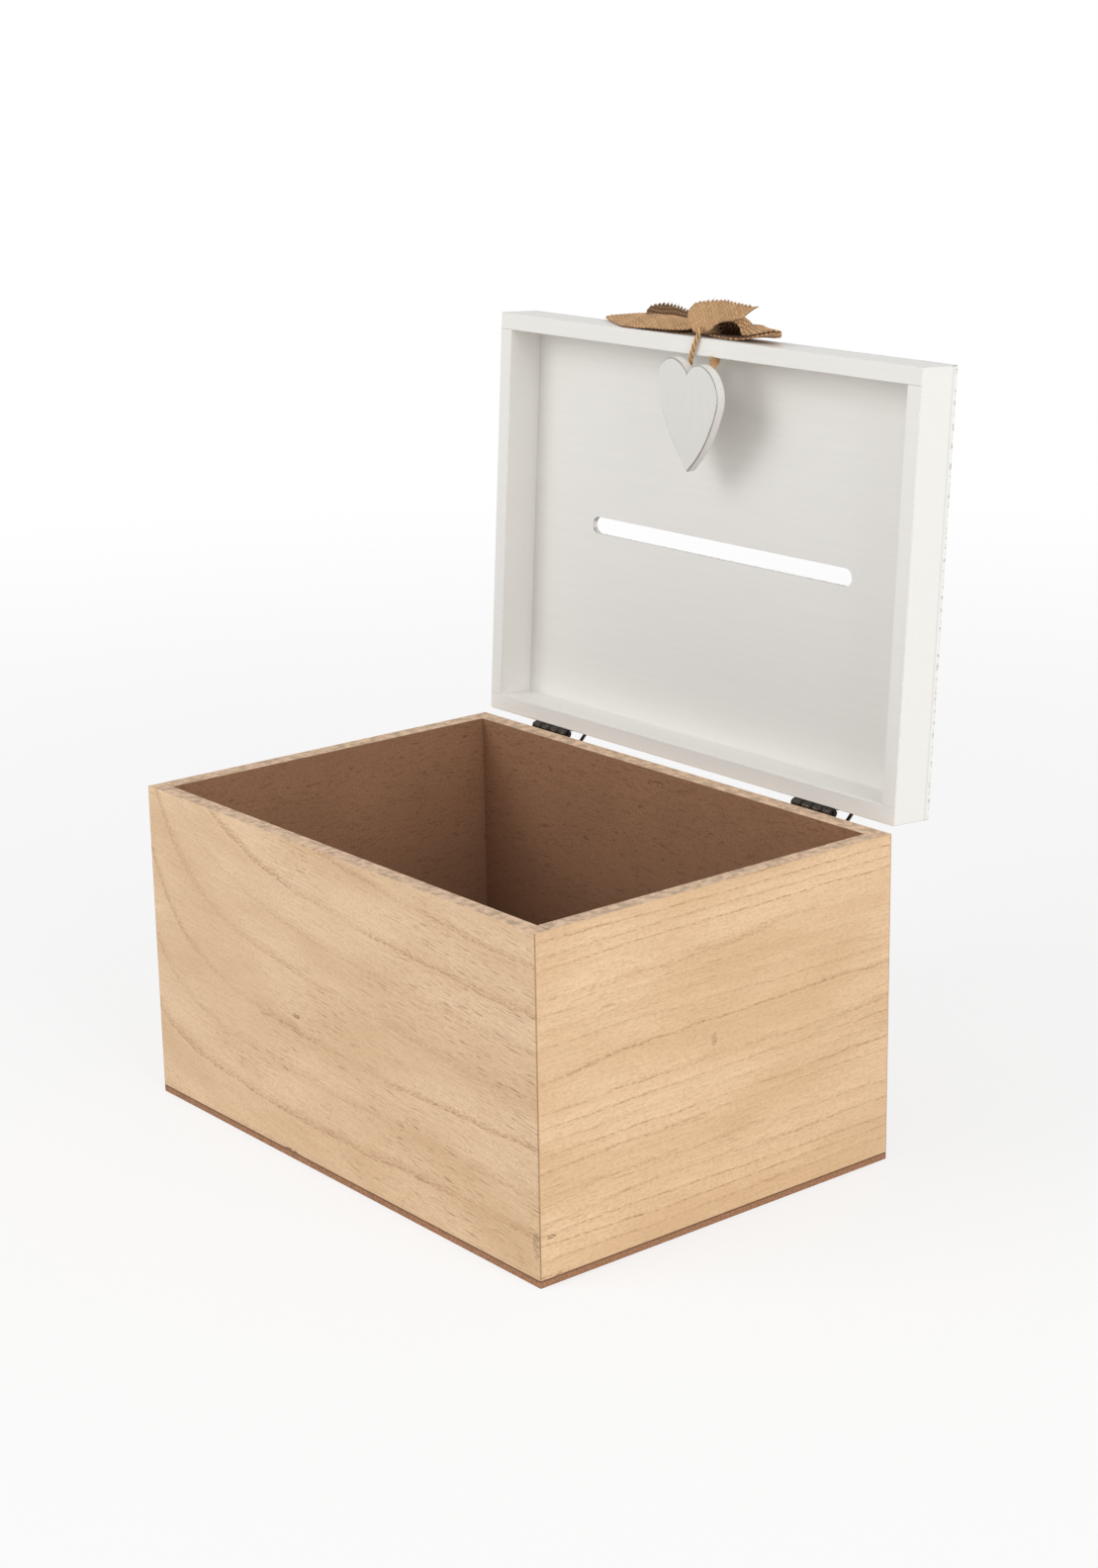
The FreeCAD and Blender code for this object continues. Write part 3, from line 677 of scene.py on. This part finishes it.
def cloth_piece(name, grid, along, across, finish, seed, relief=1.0, closed=False):
    """A woven ribbon from a grid of bow points; along and across are its cloth coordinates in millimetres.

    The yarns stand out on the side that the grid faces, and on its other side where relief is negative.
    """
    own = looks()
    pitch = own.yarn_pitch / MM
    weave, yarn = woven(along / pitch, across / pitch, seed)
    runs, crossings = np.gradient(grid, axis=0), np.gradient(grid, axis=1)
    if closed:
        runs = (np.roll(grid, -1, axis=0) - np.roll(grid, 1, axis=0)) / 2
    normal = np.cross(runs, crossings)
    normal /= np.maximum(np.linalg.norm(normal, axis=-1, keepdims=True), 1e-9)
    grid = grid + normal * ((weave - 0.5) * relief * own.weave_relief / MM)[..., None]
    rows, columns = grid.shape[:2]
    index = np.arange(rows * columns).reshape(rows, columns)
    after = np.roll(index, -1, axis=0) if closed else index[1:]
    before = index if closed else index[:-1]
    faces = np.stack([before[:, :-1], before[:, 1:], after[:, 1:], after[:, :-1]], -1).reshape(-1, 4)
    flat = np.stack([along.ravel(), across.ravel()], -1) * MM
    piece = new_piece(name, bow_places(grid).reshape(-1, 3).tolist(), faces.tolist(), flat, finish)
    store(piece, "weave", weave)
    store(piece, "yarn", yarn)
    bpy.ops.object.shade_smooth()
    thickness = piece.modifiers.new("Thickness", "SOLIDIFY")
    thickness.thickness = own.ribbon_thickness
    thickness.offset = 0.0
    bpy.ops.object.modifier_apply(modifier=thickness.name)
    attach(piece, "lid")
    return piece


def strip(rim_edge, panel_edge, fold, bulge, ramp, steps, columns=90):
    """Grid of a looped ribbon between its two edges; past the fold, over ramp, its outer ply is crowned.

    The crown's height goes from bulge[0] at the fold to bulge[1] at the knot, and dies out just before it.
    """
    dying_out, knot_share = 0.2, 1.02
    shares = np.linspace(0, 1, steps)
    rim = smooth_line(rim_edge, shares, fold[0])
    panel = smooth_line(panel_edge, shares, fold[1])
    across = np.linspace(0, 1, columns)[None, :, None]
    grid = rim[:, None] * (1 - across) + panel[:, None] * across
    outer = np.clip((shares - 0.5) / ramp, 0, 1) * np.clip((knot_share - shares) / dying_out, 0, 1)
    height = np.interp(shares, (0.5, 1.0), bulge)
    grid[..., 2] += (height * outer)[:, None] * (4 * across * (1 - across))[..., 0]
    return grid


def slanted(run, breadth, degrees):
    """Cloth coordinates whose yarns run slantwise to a ribbon's length."""
    slant = math.radians(degrees)
    along = run * math.cos(slant) + breadth * math.sin(slant)
    across = breadth * math.cos(slant) - run * math.sin(slant)
    return along, across


def on_the_bias(grid):
    """Cloth coordinates of a looped ribbon's grid, in millimetres over its own surface."""
    run = distances(grid[:, grid.shape[1] // 2])
    widths = np.linalg.norm(np.diff(grid, axis=1), axis=-1).mean(0)
    breadth = np.concatenate(([0.0], np.cumsum(widths)))
    return slanted(run[:, None], breadth[None, :], degrees=40)


def filled(left, right, low, high):
    """Grid that fills four edges: left and right run upwards, low and high run across."""
    t = np.linspace(0, 1, len(left))[:, None, None]
    s = np.linspace(0, 1, len(low))[None, :, None]
    sides = left[:, None] * (1 - s) + right[:, None] * s
    ends = low[None, :] * (1 - t) + high[None, :] * t
    corners = (1 - t) * ((1 - s) * low[0] + s * low[-1]) + t * ((1 - s) * high[0] + s * high[-1])
    return sides + ends - corners


def pinked(line, share_to, lean=0.0):
    """A line with teeth as pinking shears cut them, up to a share of its length; lean slants the teeth."""
    own = looks()
    run = np.gradient(line, axis=0)
    run /= np.linalg.norm(run, axis=1, keepdims=True)
    outward = np.stack([-run[:, 1], run[:, 0]], -1)
    reach = distances(line)
    share = reach / reach[-1]
    phase = np.mod(reach * MM / own.tooth_pitch, 1.0)
    tooth = np.abs(phase * 2 - 1) - 0.5
    tooth = np.where((share > 0.0) & (share < share_to), tooth, 0.0)
    return line + (outward + lean * run) * (tooth * own.tooth_depth / MM)[:, None]


def frames_along(line):
    """Each point of a line with its direction, two directions across it and its distance along the line."""
    frames, reach = [], 0.0
    side = (line[1] - line[0]).orthogonal().normalized()
    for index, point in enumerate(line):
        before, after = line[max(index - 1, 0)], line[min(index + 1, len(line) - 1)]
        run = (after - before).normalized()
        side = (side - run * side.dot(run)).normalized()
        reach += (point - before).length
        frames.append((point, run, side, run.cross(side), reach))
    return frames


def tube_faces(first, rings, sides):
    """Faces of a closed tube whose rings of vertices follow each other from number first."""
    faces = []
    for ring in range(rings - 1):
        low = first + ring * sides
        for step in range(sides):
            after = (step + 1) % sides
            faces.append((low + step, low + after, low + sides + after, low + sides + step))
    last = first + (rings - 1) * sides
    faces.append(tuple(first + step for step in reversed(range(sides))))
    faces.append(tuple(last + step for step in range(sides)))
    return faces


def fibre_piece(name, hairs, finish):
    """Thin tapered fibres, each a list of points and a radius, as one mesh."""
    sides, taper = 5, 0.75
    vertices, faces, flat = [], [], []
    for points, radius in hairs:
        first = len(vertices)
        faces += tube_faces(first, len(points), sides)
        for index, (point, _, side, over, reach) in enumerate(frames_along(points)):
            thin = radius * (1.0 - taper * (index / (len(points) - 1)) ** 2)
            for step in range(sides):
                turn = 2 * math.pi * step / sides
                vertices.append(point + (side * math.cos(turn) + over * math.sin(turn)) * thin)
                flat.append((reach + first * MM, step / sides))
    piece = new_piece(name, vertices, faces, flat, finish)
    bpy.ops.object.shade_smooth_by_angle(angle=math.radians(60))
    return piece


def edge_fray(name, grid, seed, count):
    """Loose yarn ends along the last row of a ribbon's grid."""
    chance = np.random.default_rng(seed)
    waver, shortest, longer_by = 0.4, 0.5, 0.8
    radius = 0.12 * MM
    hairs = []
    for column in np.linspace(2, grid.shape[1] - 3, count).astype(int):
        out = grid[-1, column] - grid[-6, column]
        out /= np.linalg.norm(out)
        sway = chance.normal(0.0, waver, 3)
        length = shortest + longer_by * chance.random()
        bend = [grid[-3, column] + (out + sway * t) * length * t for t in np.linspace(0, 1, 5)]
        hairs.append(([Vector(point) for point in bow_places(bend)], radius))
    piece = fibre_piece(name, hairs, jute_finish())
    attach(piece, "lid")
    return piece


class CARDBOX_OT_twine(Operator):
    """Three-strand jute twine from the bow to the back of the heart, frayed at its cut end"""
    bl_idname = "cardbox.twine"
    bl_label = "Jute Twine"

    def execute(self, context):
        line = self.route_line()
        finish = jute_finish()
        piece = self.twisted(line, finish)
        tuft = self.frayed(line, finish)
        for part in (piece, tuft):
            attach(part, "heart")
        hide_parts("heart_twine")
        return {"FINISHED"}

    def route_line(self):
        """Points along the smooth curve that the route's corner points control."""
        route = bpy.data.curves.new("twine_route", "CURVE")
        route.dimensions = "3D"
        route.resolution_u = 24
        spline = route.splines.new("NURBS")
        spline.points.add(len(TWINE_ROUTE) - 1)
        for point, corner in zip(spline.points, TWINE_ROUTE):
            point.co = (*(Vector(corner) * MM), 1.0)
        spline.order_u = 3
        spline.use_endpoint_u = True
        holder = bpy.data.objects.new("twine_route", route)
        bpy.context.scene.collection.objects.link(holder)
        traced = bpy.data.meshes.new_from_object(holder)
        line = [vertex.co.copy() for vertex in traced.vertices]
        bpy.data.objects.remove(holder)
        bpy.data.curves.remove(route)
        bpy.data.meshes.remove(traced)
        return line

    def twisted(self, line, finish):
        """Three strands laid round each other along the line, a little untwisted at the cut end."""
        own = looks()
        sides, strands = 16, 3
        offset = own.twine_thickness * 0.245
        radius = own.twine_thickness * 0.268
        splay, splay_length = 0.75, 7.0 * MM
        frames = frames_along(line)
        length = frames[-1][-1]
        vertices, faces, groove_shades, flat = [], [], [], []
        for strand in range(strands):
            faces += tube_faces(len(vertices), len(frames), sides)
            for point, run, across, over, along in frames:
                lay = along / own.twine_lay
                untwist = max(0.0, 1.0 - (length - along) / splay_length) ** 1.5
                angle = 2 * math.pi * (strand / strands - lay)
                out = across * math.cos(angle) + over * math.sin(angle)
                tangent = run.cross(out)
                centre = point + out * offset * (1.0 + splay * untwist)
                thickness = 1.0 + 0.06 * math.sin(lay * 9.1 + strand * 2.0)
                for step in range(sides):
                    turn = 2 * math.pi * step / sides
                    ridge = 1.0 + 0.05 * math.cos(5 * turn + lay * 20.0)
                    spoke = out * math.cos(turn) + tangent * math.sin(turn)
                    vertices.append(centre + spoke * radius * thickness * ridge)
                    # Painted shade for the jute finish: 0 on a strand's outer side, rising to 1 on its
                    # inner side where the strands meet.
                    groove_shades.append((0.5 - 0.5 * math.cos(turn)) ** 1.2)
                    flat.append((along, step / sides))
        piece = new_piece("jute_twine", vertices, faces, flat, finish)
        store(piece, "groove_shade", groove_shades)
        bpy.ops.object.shade_smooth_by_angle(angle=math.radians(60))
        return piece

    def frayed(self, line, finish):
        """Loose fibres that spread from the twine's cut end."""
        chance = np.random.default_rng(7)
        count, golden_angle = 150, 2.39996
        root, spread_radius = 4.0 * MM, 1.15 * MM
        shortest, longer_by = 3.6, 2.0
        thinnest, thicker_by = 0.16, 0.16
        end = line[-1]
        run = (end - line[-6]).normalized()
        across = run.orthogonal().normalized()
        over = run.cross(across)
        hairs = []
        for hair in range(count):
            angle = hair * golden_angle
            spread = math.sqrt((hair + 0.5) / count)
            out = across * math.cos(angle) + over * math.sin(angle)
            start = end - run * root + out * (spread_radius * spread)
            length = (shortest + longer_by * chance.random()) * MM
            reach = (0.2 + 1.7 * spread * (0.5 + 0.6 * chance.random())) * MM
            twist = run.cross(out) * (1.2 * (chance.random() - 0.5) * MM)
            bend = [start + run * length * t + out * reach * t ** 1.4 + twist * math.sin(3 * t)
                    for t in np.linspace(0, 1, 8)]
            hairs.append((bend, (thinnest + thicker_by * chance.random()) * MM))
        return fibre_piece("twine_fray", hairs, finish)


class CARDBOX_OT_bow_loops(Operator):
    """Two loops of hessian ribbon on the lid's front wall"""
    bl_idname = "cardbox.bow_loops"
    bl_label = "Bow Loops"

    def execute(self, context):
        # shadow darkens the loops' hessian a little, as painted shade.
        finish = hessian_finish("hessian_loops", shadow=0.95, contrast=1.2)
        self.left_loop(finish)
        self.right_loop(finish)
        return {"FINISHED"}

    def left_loop(self, finish):
        """The long loop, flat on the wall; its points run from the knot out to the fold and back."""
        rim_edge = [
            (-4.5, 8.5, 2.0), (-13.0, 6.0, 0.6), (-28.0, 5.0, 0.5), (-43.0, 4.6, 0.5), (-52.0, 3.6, 0.5),
            (-56.6, 1.8, 0.9), (-54.5, 1.0, 0.8), (-46.0, 0.9, 0.7), (-35.0, 1.0, 1.3), (-20.0, 1.4, 1.9),
            (-10.0, 3.2, 2.7), (-4.0, 8.0, 4.4)]
        panel_edge = [
            (-4.5, 17.5, 1.6), (-18.0, 20.5, 0.7), (-45.0, 21.5, 0.6), (-70.0, 21.5, 0.6),
            (-85.0, 21.5, 0.7), (-90.4, 21.5, 1.4), (-86.5, 21.5, 2.4), (-80.0, 21.5, 3.2),
            (-71.0, 21.5, 4.4), (-57.0, 21.5, 5.7), (-44.0, 21.5, 6.0), (-30.0, 21.0, 6.0),
            (-14.0, 19.0, 6.0), (-4.0, 16.0, 6.4)]
        grid = strip(rim_edge, panel_edge, fold=(5, 5), bulge=(2.0, 2.0), ramp=0.22, steps=550)
        left = cloth_piece("bow_left_ribbon", grid, *on_the_bias(grid), finish, seed=1.0, relief=1.7)
        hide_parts("bow_left_loop")

    def right_loop(self, finish):
        """The short loop, open at the knot and lifted at its fold."""
        rim_edge = [
            (4.5, 4.5, 1.6), (14.0, 3.8, 1.1), (28.0, 3.4, 1.6), (42.0, 3.2, 4.6), (51.0, 3.3, 6.4),
            (54.6, 3.4, 6.9), (51.5, 3.1, 7.2), (44.0, 3.0, 5.9), (37.0, 2.9, 4.4), (32.0, 2.7, 3.5),
            (29.4, 2.7, 3.8), (28.2, 3.0, 5.8), (25.5, 3.5, 7.9), (21.0, 4.0, 9.0), (15.0, 4.6, 9.0),
            (9.0, 6.2, 8.2), (4.0, 9.0, 7.0)]
        panel_edge = [
            (4.5, 17.0, 1.0), (14.0, 20.0, 1.1), (26.0, 21.5, 2.0), (33.0, 21.5, 2.3), (36.0, 21.5, 2.9),
            (34.5, 21.5, 3.3), (30.0, 21.5, 2.5), (24.0, 21.5, 2.6), (16.0, 20.8, 1.8), (10.0, 18.8, 1.3),
            (4.0, 15.5, 1.7)]
        grid = strip(rim_edge, panel_edge, fold=(5, 4), bulge=(2.4, 7.2), ramp=0.14, steps=460)
        right = cloth_piece("bow_right_ribbon", grid, *on_the_bias(grid), finish, seed=2.0, relief=-1.7)
        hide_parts("bow_right_loop")


class CARDBOX_OT_bow_knot(Operator):
    """Band of hessian ribbon round the middle of the bow"""
    bl_idname = "cardbox.bow_knot"
    bl_label = "Bow Knot"

    def execute(self, context):
        half_width, half_height, half_depth = 6.0, 7.9, 3.4
        middle_up, middle_out = 10.6, 4.5
        mean_radius = 5.5
        turns = np.linspace(0, 2 * math.pi, 120, endpoint=False)[:, None]
        width = np.linspace(-1, 1, 40)[None, :]
        drawn_in = 1.0 - 0.85 * np.clip((np.abs(width) - 0.7) / 0.3, 0, 1) ** 2
        flare = (1.0 + 0.1 * width ** 2) * drawn_in
        crease = 1.0 + 0.03 * np.sin(9 * turns + 2 * width) + 0.02 * np.sin(4 * turns)
        along = half_width * width + 0.4 * np.sin(3 * turns)
        up = middle_up + half_height * flare * crease * np.cos(turns)
        out = middle_out + half_depth * flare * crease * np.sin(turns)
        grid = np.stack(np.broadcast_arrays(along, up, out), -1)
        round_it = np.broadcast_to(turns * mean_radius, grid.shape[:2])
        breadth = np.broadcast_to(half_width * width, grid.shape[:2])
        # shadow darkens the knot's hessian, as painted shade.
        finish = hessian_finish("hessian_knot", shadow=0.9, contrast=0.9)
        knot = cloth_piece("bow_knot_ribbon", grid, round_it, breadth, finish, seed=3.0, closed=True)
        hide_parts("bow_knot")
        return {"FINISHED"}


class CARDBOX_OT_bow_tails(Operator):
    """Two pinked ends of the hessian ribbon"""
    bl_idname = "cardbox.bow_tails"
    bl_label = "Bow Tails"

    def execute(self, context):
        self.front_tail()
        self.back_tail()
        return {"FINISHED"}

    def front_tail(self):
        """The end that stands up before the knot and points right; its points are along and out."""
        up_it, over_it = np.linspace(0, 1, 130), np.linspace(0, 1, 190)
        left = smooth_line([(-2.2, 2.6), (-5.2, 6.0), (-8.2, 9.5), (-8.0, 12.4), (-4.7, 15.4)], up_it)
        right = smooth_line([(4.0, 2.6), (8.0, 3.8), (11.6, 6.8), (16.5, 9.1), (22.8, 10.4), (29.0, 11.6),
                             (32.3, 14.2), (34.4, 15.7), (37.7, 17.7)], up_it)
        low = smooth_line([(-2.2, 2.6), (1.0, 2.2), (4.0, 2.6)], over_it)
        high = smooth_line([(-4.7, 15.4), (1.4, 16.6), (7.9, 17.5), (15.4, 18.0), (23.3, 17.4),
                            (31.0, 17.0), (37.7, 17.7)], over_it)
        flat = filled(left, right, low, pinked(high, share_to=0.9, lean=0.45))
        foot_up, foot_out = 0.9, 3.3
        tilt = math.radians(14)
        along, out = flat[..., 0], flat[..., 1] - foot_out
        ripple = 0.7 * np.sin((along - 2) * 0.16) + 0.9 * ((along - 12) / 24) ** 2
        up = foot_up + out * math.sin(tilt) + ripple
        grid = np.stack([along, up, foot_out + out * math.cos(tilt)], -1)
        # shadow darkens the tail's hessian very slightly, as painted shade.
        finish = hessian_finish("hessian_tail", shadow=0.98, contrast=0.28)
        cloth = slanted(along, out, degrees=38)
        tail = cloth_piece("bow_front_tail", grid, *cloth, finish, seed=4.0, relief=0.35)
        fray = edge_fray("bow_front_fray", grid, seed=11, count=90)
        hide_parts("bow_right_tail")

    def back_tail(self):
        """The end behind the left loop, of which the upper edge shows; its points are along and out."""
        up_it, over_it = np.linspace(0, 1, 60), np.linspace(0, 1, 190)
        left = smooth_line([(-52.8, 5.2), (-53.0, 7.8), (-51.1, 9.7)], up_it)
        right = smooth_line([(-5.0, 6.0), (-5.0, 7.0), (-5.0, 8.1)], up_it)
        low = smooth_line([(-52.8, 5.2), (-30.0, 5.6), (-5.0, 6.0)], over_it)
        high = smooth_line([(-51.1, 9.7), (-44.5, 11.3), (-38.4, 11.4), (-32.3, 10.8), (-26.2, 9.7),
                            (-15.0, 8.6), (-5.0, 8.1)], over_it)
        flat = filled(left, right, low, pinked(high, share_to=0.62))
        along, out = flat[..., 0], flat[..., 1]
        middle_up, middle_out, lean = 16.0, 7, 0.3
        up = middle_up + 0.8 * np.sin(along * 0.13) + (out - middle_out) * lean
        grid = np.stack([along, up, out], -1)
        # Painted shade: this end lies in shade behind the left loop, so its hessian is a much darker copy.
        finish = hessian_finish("hessian_back_tail_painted_shade", shadow=0.44, contrast=0.8)
        tail = cloth_piece("bow_back_tail", grid, along, out, finish, seed=5.0, relief=0.6)
        fray = edge_fray("bow_back_fray", grid, seed=12, count=80)
        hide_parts("bow_left_tail")


class CARDBOX_OT_box_finish(Operator):
    """Veneer outside and fibreboard inside"""
    bl_idname = "cardbox.box_finish"
    bl_label = "Box Finish"

    def execute(self, context):
        front_marks = [
            ((-37, 2.6), (5.0, 1.6), 0.8), ((147.5, 19), (2.0, 5.0), 0.35), ((-29, 74), (2.6, 1.0), 0.7)]
        right_marks = [((-99, 22.6), (2.4, 0.7), 0.8), ((-4.7, 88.4), (1.4, 2.6), 0.35)]
        dress(veneer_finish("front_veneer_wood", along=0, seed=3.1, arch=1.0, spacing=18.0, drifting=22.0,
                            lines=0.85, flecks=1.0, marks=front_marks), "front_veneer")
        dress(veneer_finish("right_veneer_wood", along=1, seed=11.7, arch=0.0, spacing=8.6, drifting=34.0,
                            lines=0.85, flecks=0.35, tint=(1.0, 0.96, 0.91), marks=right_marks),
              "right_veneer")
        dress(veneer_finish("back_veneer_wood", along=0, seed=23.4, arch=1.0, spacing=20.0, drifting=22.0,
                            lines=0.8, flecks=0.8), "back_veneer")
        dress(veneer_finish("left_veneer_wood", along=1, seed=31.9, arch=0.0, spacing=11.0, drifting=34.0,
                            lines=0.9, flecks=0.5), "left_veneer")
        dress(fibreboard_finish(), "front_wall", "back_wall", "left_wall", "right_wall")
        dress(base_board_finish(), "base_board")
        return {"FINISHED"}


class CARDBOX_OT_lid_finish(Operator):
    """White rubbed paint on the lid and the heart"""
    bl_idname = "cardbox.lid_finish"
    bl_label = "Lid and Heart Finish"

    def execute(self, context):
        walls = [f"lid_{side}_wall" for side in ("front", "back", "left", "right")]
        dress(lid_finish(), *walls, "lid_top_panel")
        dress(heart_finish(), "heart_tag")
        return {"FINISHED"}


class CARDBOX_OT_hinge_finish(Operator):
    """Dark bronze on the hinges and their screws"""
    bl_idname = "cardbox.hinge_finish"
    bl_label = "Hinge Finish"

    def execute(self, context):
        names = ["box_hinge_screws", "lid_hinge_screws"]
        for side in ("left", "right"):
            names += [f"{side}_hinge_box_leaf", f"{side}_hinge_lid_leaf", f"{side}_hinge_pin"]
        dress(hinge_finish(), *names)
        return {"FINISHED"}


class CARDBOX_OT_stage(Operator):
    """Camera, soft studio light and a pale floor"""
    bl_idname = "cardbox.stage"
    bl_label = "Stage"

    def execute(self, context):
        scene = context.scene
        scene.view_settings.view_transform = "Standard"
        self.camera(scene)
        self.lamp(scene, "key_light", place=(-0.75, -1.9, 1.5), target=(0.0, 0.05, 0.22), power=21)
        self.lamp(scene, "right_light", place=(2.1, -0.1, 1.0), target=(0.0, 0.0, 0.15), power=20)
        self.sky(scene, light=0.52)
        self.floor()
        return {"FINISHED"}

    def camera(self, scene):
        """The view of the photograph, solved from the box's corners."""
        place = Vector((1.027959, -0.809333, 0.547911))
        backward = Vector((0.745860, -0.606108, 0.276272)).normalized()
        roll = math.radians(-0.959)
        right = Vector((0, 0, 1)).cross(backward).normalized()
        level = Matrix((right, backward.cross(right), backward)).transposed()
        lens = bpy.data.cameras.new("camera")
        lens.lens = 66.289
        lens.sensor_width = 36.0
        lens.clip_start = 0.05
        camera = bpy.data.objects.new("camera", lens)
        camera.matrix_world = Matrix.Translation(place) @ (level @ Matrix.Rotation(roll, 3, "Z")).to_4x4()
        scene.collection.objects.link(camera)
        scene.camera = camera

    def lamp(self, scene, name, place, target, power, width=1.5):
        """A soft square lamp that faces a point."""
        light = bpy.data.lights.new(name, "AREA")
        light.size = width
        light.energy = power
        lamp = bpy.data.objects.new(name, light)
        lamp.location = place
        lamp.rotation_euler = (Vector(target) - Vector(place)).to_track_quat("-Z", "Y").to_euler()
        scene.collection.objects.link(lamp)

    def sky(self, scene, light):
        """White backdrop for the camera, softer white light for the object."""
        world = bpy.data.worlds.new("studio")
        scene.world = world
        world.use_nodes = True
        wiring = Wiring(world.node_tree)
        level = wiring.add("MapRange", {"Value": wiring.seen(), "To Min": light, "To Max": 1.0}).outputs[0]
        background = world.node_tree.nodes["Background"]
        wiring.feed(background.inputs["Color"], (1, 1, 1))
        wiring.feed(background.inputs["Strength"], level)

    def floor(self):
        """Large pale floor that keeps the box's soft shadow, and turns white further off."""
        own = looks()
        near, far, near_whiteness = 0.4, 1.8, 0.72
        bpy.ops.object.select_all(action="DESELECT")
        bpy.ops.mesh.primitive_circle_add(vertices=96, radius=6.0, fill_type="NGON", location=(0, 0, 0))
        floor = bpy.context.object
        floor.name = "studio_floor"
        finish = Finish("studio_floor")
        finish.surface(base=own.floor, roughness=0.9, specular=0.1)
        away = finish.vector("DISTANCE", finish.object_place, (0, 0, 0))
        whiteness = finish.between(away, near, far, near_whiteness, 1.0)
        white = finish.add("Emission", {"Color": (1, 1, 1), "Strength": 1.0}).outputs[0]
        share = finish.times(finish.seen(), whiteness)
        blend = finish.add("MixShader", {0: share, 1: finish.shader.outputs[0], 2: white}).outputs[0]
        finish.feed(finish.output.inputs[0], blend)
        floor.data.materials.append(finish.material)


STEPS = (
    CARDBOX_OT_stage,
    CARDBOX_OT_twine,
    CARDBOX_OT_bow_loops,
    CARDBOX_OT_bow_knot,
    CARDBOX_OT_bow_tails,
    CARDBOX_OT_box_finish,
    CARDBOX_OT_lid_finish,
    CARDBOX_OT_hinge_finish,
)


class CARDBOX_PT_sidebar(Panel):
    """Colours, sizes and the steps that build the card box"""
    bl_idname = "CARDBOX_PT_sidebar"
    bl_label = "Wedding Card Box"
    bl_space_type = "VIEW_3D"
    bl_region_type = "UI"
    bl_category = "Card Box"

    def draw(self, context):
        own = context.scene.card_box_looks
        for key in own.bl_rna.properties.keys():
            if key not in ("rna_type", "name"):
                self.layout.prop(own, key)
        for step in STEPS:
            self.layout.operator(step.bl_idname)


CLASSES = (CardBoxLooks, *STEPS, CARDBOX_PT_sidebar)


def register():
    for item in CLASSES:
        bpy.utils.register_class(item)
    bpy.types.Scene.card_box_looks = PointerProperty(type=CardBoxLooks)


def unregister():
    del bpy.types.Scene.card_box_looks
    for item in reversed(CLASSES):
        bpy.utils.unregister_class(item)


def main():
    register()
    for step in STEPS:
        group, name = step.bl_idname.split(".")
        getattr(getattr(bpy.ops, group), name)()


if __name__ == "__main__":
    main()
